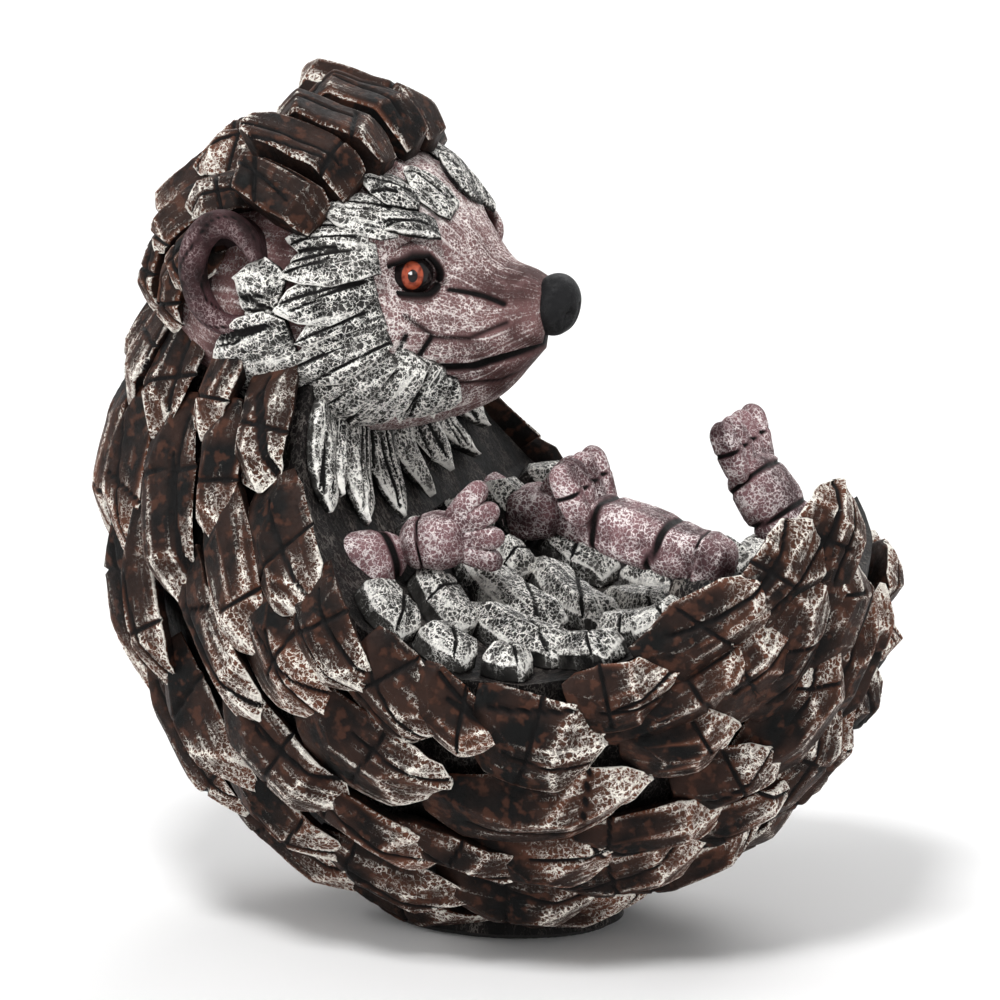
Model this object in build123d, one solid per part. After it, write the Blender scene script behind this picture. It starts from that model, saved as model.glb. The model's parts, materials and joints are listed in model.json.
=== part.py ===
from build123d import *
import math
import os

# A hedgehog lying curled on its round back, cast and painted in a chiselled style.
# X runs towards the animal's front, Y towards its left side and Z up.
# The origin is on the resting surface, under the middle of the curled back.

# Body: the back is a rounded form, and the belly is a hollow that it curls round
body_radius = 86.0
body_half_width = 65.0
body_centre_height = 93.0
belly_radius = 56.0
belly_forward = 26.0
belly_height = 127.0
neck_angle = 166.0
neck_end_angle = 228.0
neck_width_share = 0.60
body_sections = 12
rump_angle = 327.0
rump_bend_angle = 298.0
left_rump_share = 0.5

# Base: a short turned foot under the back, with a felt pad
foot_radius = 29.0
foot_top_height = 12.0
foot_taper = 3.0
pad_thickness = 1.5
pad_radius = 27.0

# Head: sections across the head, from its back to the muzzle
head_length = 89.0
head_back = -77.0
head_height = 60.0
head_half_width = 39.0
head_centre_height = 146.0
mouth_line_height = 132.5
mouth_rise = 2.5
mouth_gap = 0.5
jaw_back = -10.0

skull_forward = -38.0
skull_length = 38.0
skull_height = 31.0

# Face
eye_radius = 5.4
eye_forward = -14.0
eye_side = 19.0
eye_height = 152.0
nose_length = 11.0
nose_width = 12.0
nose_height = 14.0
nose_forward = 13.5
nose_centre_height = 143.0
nose_tilt = 12.0
ear_forward = -49.0
ear_side = 38.0
ear_centre_height = 153.0
ear_height = 29.0
ear_width = 20.0
ear_depth = 7.0

# Limbs: rounded castings with chiselled flats
forearm_radius = 8.0
palm_length = 13.0
palm_width = 15.0
palm_thickness = 10.0
finger_length = 10.5
finger_radius = 2.9
left_arm_drop = 7.0
leg_radius = 9.0
leg_height = 26.0
sole_width = 17.0
sole_thickness = 12.0
toe_length = 15.0
toe_radius = 3.3
heel_radius = 6.6

# Quills and fur: leaf-shaped blocks that taper to a chisel-cut tip
quill_width = 21.5
quill_thickness = 8.5
quill_lift = 4.5
fur_width = 14.0
fur_thickness = 4.0
fur_lift = 1.5
crown_width = 12.5
crown_thickness = 12.5
crown_lift = 10.0
nape_thickness = 8.0
nape_lift = 5.0
stone_width = 10.5
stone_thickness = 8.0

# Clearances
seat_gap = 0.35
overrun = 20.0

# Outlines across the flow: station along the leaf, half width, edge height, ridge
# height, underside height and sideways lean, as shares of its own sizes. Without an
# edge height the section is a plain ridge, and without a ridge its top is flat.
quill_outline_shares = (
    (0.00, 0.45, 0.15, 0.50, 0.00, 0.00),
    (0.40, 1.00, 0.45, 1.05, 0.10, 0.02),
    (0.74, 0.86, 0.50, 1.10, 0.55, 0.00),
    (1.00, 0.00, 0.12, 0.20, 1.00, -0.20),
)
crown_outline_shares = (
    (0.00, 0.85, 0.70, 0.80, 0.00, 0.00),
    (0.50, 0.95, 0.85, 1.00, 0.15, 0.00),
    (1.00, 0.35, 0.20, 0.45, 1.00, 0.00),
)
fur_outline_shares = (
    (0.00, 0.35, 0.00, 0.60, 0.00, 0.00),
    (0.60, 1.00, 0.00, 1.05, 0.15, 0.04),
    (1.00, 0.00, 0.00, 0.30, 1.00, -0.10),
)
leaf_foot_share = 0.75
bead_levels = (-74, -38, 0, 38, 74)
bead_points = 10

# Places of the body's section points: over the back, then across the belly's floor
body_ring_shares = (-1.0, -0.84, -0.67, -0.5, -0.34, -0.17, 0.0, 0.17, 0.34, 0.5, 0.67, 0.84, 1.0)
belly_ring_shares = (-0.5, 0.0, 0.5)

# Quills of one side, row by row from the rim of the back to its spine. Each has the
# angle round the belly at its root and its tip, the place between spine and rim at
# its root and its tip, and its width, as shares.
rim_quill_shares = (
    (176, 199, 0.91, 0.93, 0.90),
    (197, 224, 0.95, 0.96, 0.90),
    (217, 244, 1.00, 0.93, 0.75),
    (236, 258, 0.99, 0.90, 0.90),
    (250, 269, 0.99, 0.90, 0.65),
    (263, 286, 0.94, 0.84, 1.10),
    (282, 304, 0.96, 0.93, 0.75),
    (298, 326, 0.98, 0.92, 0.90),
)
flank_quill_shares = (
    (172, 190, 0.74, 0.76, 0.90),
    (184, 205, 0.79, 0.80, 0.90),
    (196, 224, 0.81, 0.82, 0.85),
    (210, 239, 0.86, 0.84, 0.95),
    (232, 260, 0.82, 0.78, 1.10),
    (255, 289, 0.73, 0.68, 0.90),
    (285, 316, 0.88, 0.81, 0.90),
    (287, 303, 0.80, 0.62, 0.85),
    (299, 321, 0.74, 0.67, 1.00),
    (313, 338, 0.85, 0.92, 1.05),
)
side_quill_shares = (
    (170, 190, 0.52, 0.56, 0.90),
    (184, 212, 0.59, 0.67, 0.90),
    (205, 230, 0.66, 0.71, 0.90),
    (223, 246, 0.67, 0.64, 0.95),
    (238, 259, 0.62, 0.58, 0.90),
    (251, 269, 0.60, 0.50, 0.90),
    (262, 280, 0.58, 0.52, 0.95),
    (275, 293, 0.54, 0.42, 0.90),
    (289, 302, 0.55, 0.36, 0.95),
    (304, 330, 0.62, 0.60, 1.00),
    (322, 345, 0.66, 0.72, 0.90),
)
back_quill_shares = (
    (168, 187, 0.33, 0.36, 0.95),
    (182, 203, 0.40, 0.43, 0.95),
    (198, 219, 0.46, 0.49, 0.90),
    (214, 234, 0.49, 0.51, 0.90),
    (229, 246, 0.46, 0.44, 0.90),
    (242, 260, 0.42, 0.38, 0.90),
    (256, 274, 0.40, 0.34, 0.90),
    (269, 288, 0.38, 0.33, 0.95),
    (284, 299, 0.34, 0.20, 0.95),
    (296, 319, 0.38, 0.36, 1.00),
    (313, 332, 0.40, 0.44, 0.95),
)
spine_side_quill_shares = (
    (167, 186, 0.16, 0.16, 0.80),
    (182, 202, 0.19, 0.19, 0.80),
    (198, 218, 0.23, 0.24, 0.80),
    (214, 233, 0.25, 0.25, 0.80),
    (229, 247, 0.23, 0.22, 0.80),
    (243, 261, 0.20, 0.20, 0.85),
    (259, 277, 0.20, 0.19, 0.90),
    (274, 293, 0.20, 0.18, 0.90),
    (290, 310, 0.17, 0.17, 0.85),
    (305, 326, 0.18, 0.18, 0.90),
)
spine_quill_shares = (
    (167, 187, 0.00, 0.00, 0.75),
    (184, 205, 0.00, 0.00, 0.75),
    (202, 223, 0.00, 0.00, 0.80),
    (220, 241, 0.00, 0.00, 0.80),
    (289, 309, 0.00, 0.00, 0.80),
    (304, 326, 0.00, 0.00, 0.80),
)

# Head sections: station along the head from its back, underside, top and half width,
# as shares of the head's length, height, height and half width
head_section_shares = (
    (0.00, -0.16, 0.16, 0.20),
    (0.06, -0.32, 0.30, 0.55),
    (0.20, -0.48, 0.44, 0.88),
    (0.43, -0.57, 0.52, 1.00),
    (0.58, -0.57, 0.48, 0.94),
    (0.70, -0.53, 0.39, 0.77),
    (0.79, -0.48, 0.26, 0.54),
    (0.88, -0.40, 0.11, 0.35),
    (0.96, -0.27, 0.07, 0.25),
    (1.00, -0.20, 0.04, 0.19),
)
head_ring_points = 14
head_front_share = 0.58
ear_points = 12

# Fur of one side of the face: place along the head and angle down from its top,
# at the root and at the tip, and the width, as shares
brow_fur_shares = (
    (0.77, 16, 0.65, 17, 0.62),
    (0.71, 26, 0.57, 30, 0.62),
    (0.76, 34, 0.63, 47, 0.55),
    (0.69, 43, 0.52, 48, 0.62),
    (0.64, 54, 0.46, 62, 0.66),
    (0.67, 61, 0.46, 75, 0.66),
    (0.67, 71, 0.45, 88, 0.66),
    (0.46, 82, 0.34, 78, 0.80),
)
cheek_fur_shares = (
    (0.69, 83, 0.50, 99, 0.62),
    (0.49, 98, 0.27, 112, 0.90),
    (0.70, 91, 0.46, 113, 0.72),
    (0.52, 117, 0.30, 131, 0.90),
    (0.70, 100, 0.43, 134, 0.80),
    (0.72, 105, 0.51, 143, 0.78),
    (0.75, 102, 0.60, 140, 0.74),
    (0.78, 106, 0.69, 141, 0.68),
    (0.80, 116, 0.76, 142, 0.58),
)

# Quills of the head: angle over the skull from its front and place across it, at the
# root and at the tip, with width and height shares
crown_quill_shares = (
    (63, 3, 108, 2, 1.00, 1.12),
    (64, 20, 105, 16, 1.00, 1.02),
    (66, 37, 108, 29, 1.00, 0.97),
    (69, 54, 110, 44, 1.05, 0.90),
    (63, -14, 108, -12, 1.00, 1.10),
    (65, -31, 108, -25, 1.00, 1.00),
    (68, -48, 111, -38, 1.00, 0.92),
    (73, -64, 116, -54, 1.00, 0.85),
)
nape_quill_shares = (
    (104, 0, 138, 0, 1.20, 0.95),
    (102, 22, 137, 19, 1.20, 0.95),
    (104, 44, 142, 38, 1.15, 0.80),
    (102, -22, 137, -19, 1.20, 0.95),
    (104, -44, 142, -38, 1.15, 0.80),
    (104, -64, 148, -60, 1.00, 0.70),
    (128, 11, 165, 11, 1.25, 0.90),
    (128, 33, 168, 32, 1.20, 0.80),
    (134, 55, 176, 54, 1.10, 0.75),
    (128, -11, 165, -11, 1.25, 0.90),
    (128, -33, 168, -32, 1.20, 0.80),
    (134, -55, 176, -54, 1.10, 0.75),
    (154, 0, 192, 0, 1.25, 0.85),
    (156, 23, 195, 24, 1.25, 0.80),
    (162, 44, 202, 46, 1.20, 0.75),
    (156, -23, 195, -24, 1.25, 0.80),
    (162, -44, 202, -46, 1.20, 0.75),
)

# Ear: rings of its shell from the skull, over the rolled rim, into the hollow, with
# their size and how far they stand out, as shares
ear_profile_shares = (
    (0.45, -1.00),
    (0.90, -0.45),
    (1.00, 0.30),
    (0.94, 0.62),
    (0.80, 0.66),
    (0.62, 0.30),
    (0.50, -0.30),
)
ear_notch_share = 0.22

# Limbs: places as shares of the body's radius and half width, from its centre
elbow_shares = (-0.36, 0.70, -0.10)
wrist_shares = (-0.11, 0.48, -0.01)
palm_shares = (-0.04, 0.45, 0.01)
right_heel_shares = (0.70, -0.42, 0.02)
right_ball_shares = (0.39, -0.40, 0.10)
left_heel_shares = (0.70, 0.42, -0.06)
left_ball_shares = (0.59, 0.42, 0.09)
right_toe_angle = 112
left_toe_angle = 110
finger_fan_shares = (
    (52, 0.32),
    (28, 0.34),
    (6, 0.30),
    (-18, 0.12),
)
finger_root_share = 0.30
finger_inward_share = 0.12
palm_aim = (1, 0, 0.1)
toe_place_shares = (-0.36, -0.12, 0.12, 0.36)
toe_spread_share = 0.40
digit_middle_share = 0.6

# Limbs: radius at each point of their paths, as shares of the limb's own size
forearm_taper_shares = (1.00, 1.00, 0.72)
palm_taper_shares = (0.36, 0.50, 0.42)
digit_taper_shares = (1.00, 1.10, 0.52)
leg_taper_shares = (1.00, 1.00, 0.75)
sole_taper_shares = (0.36, 0.46, 0.50, 0.40)
heel_taper_shares = (0.60, 1.00, 0.80)

# Chest fur and belly stones: angle round the belly and place across its half width, at
# the root and at the tip, and the width
chest_fur_shares = (
    (184, -0.82, 207, -0.88, 0.75),
    (184, -0.60, 205, -0.74, 0.70),
    (184, -0.36, 214, -0.58, 0.82),
    (184, -0.12, 217, -0.27, 0.82),
    (184, 0.09, 216, 0.03, 0.80),
    (184, 0.32, 213, 0.31, 0.80),
    (184, 0.56, 213, 0.57, 0.80),
    (184, 0.80, 208, 0.82, 0.75),
)
belly_stone_shares = (
    (234, -0.10, 266, -0.34, 0.92),
    (246, 0.20, 276, -0.20, 0.90),
    (247, -0.42, 279, -0.72, 0.98),
    (269, 0.08, 299, -0.28, 1.00),
    (232, -0.44, 250, -0.66, 0.90),
    (279, -0.38, 297, -0.56, 0.85),
    (277, -0.70, 293, -0.92, 0.90),
    (227, -0.82, 243, -0.90, 0.85),
    (245, -0.84, 259, -0.92, 0.80),
    (262, -0.88, 273, -0.92, 0.80),
    (295, -0.72, 309, -0.84, 0.85),
    (219, -0.24, 230, -0.28, 0.90),
    (219, 0.10, 232, 0.08, 0.90),
    (236, 0.14, 246, 0.06, 0.70),
    (220, 0.46, 237, 0.44, 0.95),
    (222, 0.82, 238, 0.84, 0.90),
    (240, 0.48, 260, 0.42, 0.95),
    (241, 0.84, 262, 0.86, 0.90),
    (264, 0.46, 285, 0.38, 1.00),
    (266, 0.84, 286, 0.82, 0.90),
    (289, 0.38, 308, 0.34, 0.95),
    (290, 0.80, 308, 0.76, 0.90),
    (302, -0.06, 319, -0.10, 0.95),
)

# A belly stone has blunt ends: outline shares as for a quill
stone_outline_shares = (
    (0.00, 0.72, 0.84, 0.00, 0.00, 0.00),
    (0.55, 0.96, 0.98, 0.00, 0.00, 0.06),
    (1.00, 0.62, 0.70, 0.00, 0.00, -0.04),
)


def spot(point, shift, length):
    """A point moved by a length along a direction."""
    return point + shift * length


def mix(low, high, share):
    return low + (high - low) * share


def scaled(size, shares):
    return [size * share for share in shares]


def skin(rings):
    """A closed solid of flat facets through rings of points; its last ring may be one."""
    count = len(rings[0])
    triangles = []
    ends = [rings[0], rings[-1]]
    if len(rings[-1]) == 1:
        ends = [rings[0]]
        rings = rings[:-1] + [rings[-1] * count]
    for near, far in zip(rings, rings[1:]):
        for index in range(count):
            after = (index + 1) % count
            triangles.append((near[index], near[after], far[after]))
            if far[index] != far[after]:
                triangles.append((near[index], far[after], far[index]))
    for ring in ends:
        ring = ring[count // 2:] + ring[:count // 2]
        for index in range(1, count - 1):
            triangles.append((ring[0], ring[index], ring[index + 1]))
    faces = [Face(Wire.make_polygon(corners, close=True)) for corners in triangles]
    solid = Solid(Shell(faces))
    if solid.volume < 0:
        solid = Solid(solid.wrapped.Reversed())
    return solid


def largest(shape):
    return max(shape.solids(), key=lambda solid: solid.volume)


class Bench:
    """The pieces laid so far, each with its box, for trimming the next ones against."""

    def __init__(self):
        self.pieces = []

    def lay(self, *solids):
        for solid in solids:
            self.pieces.append((solid, solid.bounding_box()))

    def trim(self, solid):
        """Cut the solid where it tucks in beside and under the pieces laid before it."""
        box = solid.bounding_box()
        near = [piece for piece, other in self.pieces if boxes_meet(box, other)]
        if near:
            solid = largest(solid - near)
        if box.min.Z < pad_thickness:
            solid = largest(solid - ground())
        self.lay(solid)
        return solid


def boxes_meet(a, b):
    apart = a.min.X > b.max.X or b.min.X > a.max.X
    apart = apart or a.min.Y > b.max.Y or b.min.Y > a.max.Y
    return not (apart or a.min.Z > b.max.Z or b.min.Z > a.max.Z)


def ground():
    """The space that the resting surface and the pad on it take up."""
    wide = body_radius * 3
    return Pos(0, 0, pad_thickness - wide / 2) * Box(wide, wide, wide)


def neck_taper(angle):
    """How much of its width the body keeps as it narrows into the neck."""
    share = (angle - neck_angle) / (neck_end_angle - neck_angle)
    return mix(neck_width_share, 1, min(1, max(0, share)))


def body_point(angle, side_share):
    """Point and outward direction on the back, from spine (0) to rim (1 or -1)."""
    direction_x = math.cos(math.radians(angle))
    direction_z = math.sin(math.radians(angle))
    offset_x = belly_forward
    offset_z = belly_height - body_centre_height
    along = offset_x * direction_x + offset_z * direction_z
    reach = math.sqrt(body_radius ** 2 - offset_x ** 2 - offset_z ** 2 + along ** 2)
    turn = math.acos(min(1, max(-1, (belly_radius + along) / reach))) * side_share
    radius = reach * math.cos(turn) - along
    width = body_half_width * neck_taper(angle)
    point = Vector(
        belly_forward + radius * direction_x,
        -width / body_radius * reach * math.sin(turn),
        belly_height + radius * direction_z,
    )
    outward = Vector(
        point.X / body_radius ** 2,
        point.Y / body_half_width ** 2,
        (point.Z - body_centre_height) / body_radius ** 2,
    )
    return point, outward.normalized()


def belly_point(angle, side_share):
    """Point and outward direction on the floor of the belly's hollow."""
    direction_x = math.cos(math.radians(angle))
    direction_z = math.sin(math.radians(angle))
    x = belly_forward + belly_radius * direction_x
    z = belly_height + belly_radius * direction_z
    from_middle = x ** 2 + (z - body_centre_height) ** 2
    half_width = body_half_width * math.sqrt(1 - from_middle / body_radius ** 2)
    half_width = half_width * neck_taper(angle)
    return Vector(x, half_width * side_share, z), Vector(-direction_x, 0, -direction_z)


def head_section(place_share):
    """Underside, top and half width of the head at a place along it."""
    for before, after in zip(head_section_shares, head_section_shares[1:]):
        if place_share <= after[0]:
            break
    share = (place_share - before[0]) / (after[0] - before[0])
    low = head_centre_height + head_height * mix(before[1], after[1], share)
    high = head_centre_height + head_height * mix(before[2], after[2], share)
    return low, high, head_half_width * mix(before[3], after[3], share)


def head_point(place_share, angle):
    """Point and outward direction on the head; the angle runs down from its top."""
    low, high, half_width = head_section(place_share)
    middle = (low + high) / 2
    turn = math.radians(angle)
    up = math.cos(turn)
    side = -math.sin(turn)
    point = Vector(
        head_back + head_length * place_share,
        half_width * side,
        middle + (high - low) / 2 * up,
    )
    forward = place_share - head_front_share
    outward = Vector(forward, side / half_width * (high - low) / 2, up)
    return point, outward.normalized()


def skull_point(angle, across_angle):
    """Point and outward direction on the skull, from its front over its top and back."""
    turn = math.radians(angle)
    side = math.radians(across_angle)
    point = Vector(
        skull_forward + skull_length * math.cos(turn) * math.cos(side),
        -head_half_width * math.sin(side),
        head_centre_height + skull_height * math.sin(turn) * math.cos(side),
    )
    outward = Vector(
        math.cos(turn) * math.cos(side) / skull_length,
        -math.sin(side) / head_half_width,
        math.sin(turn) * math.cos(side) / skull_height,
    )
    return point, outward.normalized()


def leaf(surface, root, tip, outline_shares, width, thickness, lift):
    """A leaf-shaped block that lies along a surface and lifts off it towards its tip."""
    rings = []
    here, outward = surface(*root)
    there, outward = surface(*tip)
    run = (there - here).normalized()
    for place, half, edge, ridge, under, lean in outline_shares:
        point, outward = surface(
            mix(root[0], tip[0], place),
            mix(root[1], tip[1], place),
        )
        across = run.cross(outward).normalized() * width / 2
        point += across * lean
        point += outward * (seat_gap + lift * under)
        edge_rise = outward * thickness * edge
        ridge_rise = outward * thickness * ridge
        rings.append(leaf_section(point, across * half, edge_rise, ridge_rise))
    return skin(rings)


def leaf_section(point, across, edge_rise, ridge_rise):
    """The points round a leaf: its foot, its edges and its ridge, where it has them."""
    if across.length == 0:
        return [point + ridge_rise]
    ridge = [point + ridge_rise] if ridge_rise.length > 0 else []
    if edge_rise.length == 0:
        return [point - across, point + across] + ridge
    foot = across * leaf_foot_share
    edges = [point + across + edge_rise] + ridge + [point - across + edge_rise]
    return [point - foot, point + foot] + edges


def rump_turned(angle, side):
    """The rump is rolled to the right, so its left quills stop lower."""
    if side > 0 or angle < rump_bend_angle:
        return angle
    return mix(rump_bend_angle, angle, left_rump_share)


def quill_row(row_shares, side, bench):
    """The quills of one row on one side, each tucked under those before it."""
    row = []
    for root_angle, tip_angle, root_side, tip_side, width_share in row_shares:
        quill = leaf(
            body_point,
            (rump_turned(root_angle, side), root_side * side),
            (rump_turned(tip_angle, side), tip_side * side),
            quill_outline_shares,
            quill_width * width_share,
            quill_thickness,
            quill_lift,
        )
        row.append(bench.trim(quill))
    return row


def tube(path, radii, flatten=1.0, sides=8, twist=0.5):
    """A limb of flat facets along a path, with a radius at each point of it."""
    rings = []
    last = len(path) - 1
    for index, (point, radius) in enumerate(zip(path, radii)):
        ahead = path[min(index + 1, last)] - path[max(index - 1, 0)]
        ahead = ahead.normalized()
        across = ahead.cross(Vector(0, 1, 0)).normalized()
        depth = across.cross(ahead).normalized()
        ring = []
        for step in range(sides):
            turn = 2 * math.pi * (step + twist) / sides
            sideways = depth * math.cos(turn) * radius
            ring.append(point + sideways + across * math.sin(turn) * radius * flatten)
        rings.append(ring)
    return skin(rings)


def body_spot(place_shares, side=1):
    """A place in the body's own frame, as shares of its radius and half width."""
    return Vector(
        body_radius * place_shares[0],
        body_half_width * place_shares[1] * side,
        body_centre_height + body_radius * place_shares[2],
    )


# Body casting: the rounded back, hollowed along the belly and open towards the legs
def body_casting():
    rings = []
    for step in range(body_sections + 1):
        angle = mix(neck_angle, rump_angle, step / body_sections)
        ring = []
        for place in body_ring_shares:
            point, outward = body_point(angle, place)
            ring.append(point)
        for place in belly_ring_shares:
            point, outward = belly_point(angle, place)
            ring.append(point)
        rings.append(ring)
    return skin(rings)


# Base: the turned foot that the back is cast on, and its felt pad
def base_foot(body):
    narrow = body_half_width / body_radius
    height = foot_top_height - pad_thickness
    foot = loft([
        Pos(0, 0, pad_thickness) * Ellipse(foot_radius, foot_radius * narrow),
        Pos(0, 0, pad_thickness + height)
        * Ellipse(foot_radius - foot_taper, foot_radius * narrow - foot_taper),
    ])
    return largest(foot - body)


def felt_pad():
    narrow = body_half_width / body_radius
    return extrude(Ellipse(pad_radius, pad_radius * narrow), pad_thickness).solids()[0]


# Head: one lofted casting, split at the mouth line into skull and lower jaw
def head_blank():
    rings = []
    for row in head_section_shares:
        place = row[0]
        ring = []
        for step in range(head_ring_points):
            point, outward = head_point(place, 360 * step / head_ring_points)
            ring.append(point)
        rings.append(ring)
    return skin(rings)


def below_mouth():
    """The space under the mouth line, in front of the jaw's hinge end."""
    front = head_back + head_length + overrun
    outline = Polyline(
        (jaw_back, mouth_line_height - mouth_rise),
        (front, mouth_line_height + mouth_rise),
        (front, 0),
        (jaw_back, 0),
        close=True,
    )
    return extrude(Plane.XZ * make_face(outline), body_radius, both=True)


def head_parts(body, eyes, nose, ears):
    blank = head_blank() - body
    for piece in eyes + [nose] + ears:
        blank = blank - piece
    blank = largest(blank)
    jaw_space = below_mouth()
    jaw = largest(blank & (Pos(0, 0, -mouth_gap) * jaw_space))
    skull = largest(blank - jaw_space)
    return skull, jaw


def bead(centre, size, tilt=0.0):
    """A rounded bead of flat facets, as long, wide and high as its size."""
    rings = []
    for level in bead_levels:
        height = math.sin(math.radians(level))
        width = math.cos(math.radians(level))
        ring = []
        for step in range(bead_points):
            turn = 2 * math.pi * step / bead_points
            x = size[0] / 2 * width * math.cos(turn)
            z = size[2] / 2 * height
            lean = math.radians(tilt)
            ring.append(centre + Vector(
                x * math.cos(lean) + z * math.sin(lean),
                size[1] / 2 * width * math.sin(turn),
                z * math.cos(lean) - x * math.sin(lean),
            ))
        rings.append(ring)
    return skin(rings)


def nose_pad():
    size = (nose_length, nose_width, nose_height)
    return bead(Vector(nose_forward, 0, nose_centre_height), size, nose_tilt)


def eye(side):
    size = (eye_radius * 2, eye_radius * 2, eye_radius * 2)
    return bead(Vector(eye_forward, eye_side * side, eye_height), size)


def ear(side):
    """A cupped ear: a rolled rim on a shell whose hollow faces outwards."""
    count = ear_points
    rings = []
    for size, out in ear_profile_shares:
        ring = []
        for step in range(count):
            turn = 2 * math.pi * step / count
            notch = 1 - ear_notch_share * max(0, math.cos(turn)) ** 4
            ring.append(Vector(
                ear_forward + ear_width / 2 * size * notch * math.cos(turn),
                (ear_side + ear_depth * out) * side,
                ear_centre_height + ear_height / 2 * size * math.sin(turn),
            ))
        rings.append(ring)
    return skin(rings)


# Face: fur blocks that radiate back from the muzzle
def face_fur(side, bench):
    fur = []
    for root, root_angle, tip, tip_angle, width in brow_fur_shares + cheek_fur_shares:
        block = leaf(
            head_point,
            (root, root_angle * -side),
            (tip, tip_angle * -side),
            fur_outline_shares,
            fur_width * width,
            fur_thickness,
            fur_lift,
        )
        fur.append(bench.trim(block))
    return fur


def crown_row(row_shares, outline_shares, thickness, lift, bench):
    """Upright slabs over the skull, from the middle outwards."""
    row = []
    for root, root_angle, tip, tip_angle, width, height in row_shares:
        block = leaf(
            skull_point,
            (root, root_angle),
            (tip, tip_angle),
            outline_shares,
            crown_width * width,
            thickness * height,
            lift * height,
        )
        row.append(bench.trim(block))
    return row


# Belly: fur on the chest and long stones over the hollow's floor
def belly_row(row_shares, outline_shares, width, thickness, lift, bench):
    row = []
    for root_angle, root_side, tip_angle, tip_side, width_share in row_shares:
        block = leaf(
            belly_point,
            (root_angle, root_side),
            (tip_angle, tip_side),
            outline_shares,
            width * width_share,
            thickness,
            lift,
        )
        row.append(bench.trim(block))
    return row


# Limbs: arms folded over the chest and hind legs held up
def arm(side, drop, body):
    """An arm folded over the chest, its paw lowered by a drop."""
    elbow = body_spot(elbow_shares, side)
    wrist = body_spot(wrist_shares, side) - Vector(0, 0, drop)
    palm = body_spot(palm_shares, side) - Vector(0, 0, drop)
    limb = tube(
        [elbow, mix(elbow, wrist, 0.5), wrist],
        scaled(forearm_radius, forearm_taper_shares),
    )
    limb = limb + tube(
        [wrist, palm, spot(palm, Vector(*palm_aim), palm_length / 2)],
        scaled(palm_width, palm_taper_shares),
        flatten=palm_thickness / palm_width,
    )
    for lean, spread in finger_fan_shares:
        turn = math.radians(lean)
        ahead = Vector(math.cos(turn), -side * finger_inward_share, math.sin(turn))
        rise = palm_width * math.sin(turn) * spread
        root = palm + Vector(palm_length * finger_root_share, 0, rise)
        tip = spot(root, ahead, finger_length)
        limb = limb + digit(root, tip, finger_radius)
    return largest(limb - body)


def digit(root, tip, radius):
    """A finger or toe, thickest beyond its middle and blunt at its tip."""
    path = [root, mix(root, tip, digit_middle_share), tip]
    return tube(path, scaled(radius, digit_taper_shares), sides=6)


def hind_leg(body, heel, ball, toe_turn):
    """A leg that stands on the belly's floor and the foot it holds up."""
    floor = heel - Vector(0, 0, leg_height)
    leg = tube(
        [floor, mix(floor, heel, 0.6), heel],
        scaled(leg_radius, leg_taper_shares),
    )
    ahead = (ball - heel).normalized()
    sole = tube(
        [heel, mix(heel, ball, 0.25), mix(heel, ball, 0.8), spot(ball, ahead, toe_radius)],
        scaled(sole_width, sole_taper_shares),
        flatten=sole_thickness / sole_width,
    )
    foot = sole + tube(
        [spot(heel, ahead, -heel_radius), heel, spot(heel, ahead, heel_radius)],
        scaled(heel_radius, heel_taper_shares),
    )
    toe_turn = math.radians(toe_turn)
    rise = Vector(math.cos(toe_turn), 0, math.sin(toe_turn))
    for sideways in toe_place_shares:
        root = ball + Vector(0, sideways * sole_width, 0)
        tip = spot(root, rise + Vector(0, sideways * toe_spread_share, 0), toe_length)
        foot = foot + digit(root, tip, toe_radius)
    leg = largest(leg - body - foot)
    return leg, largest(foot - body)


def write(name, solids):
    shape = solids[0] if len(solids) == 1 else Compound(children=solids)
    export_step(shape, os.path.join("parts", name + ".step"))


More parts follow.
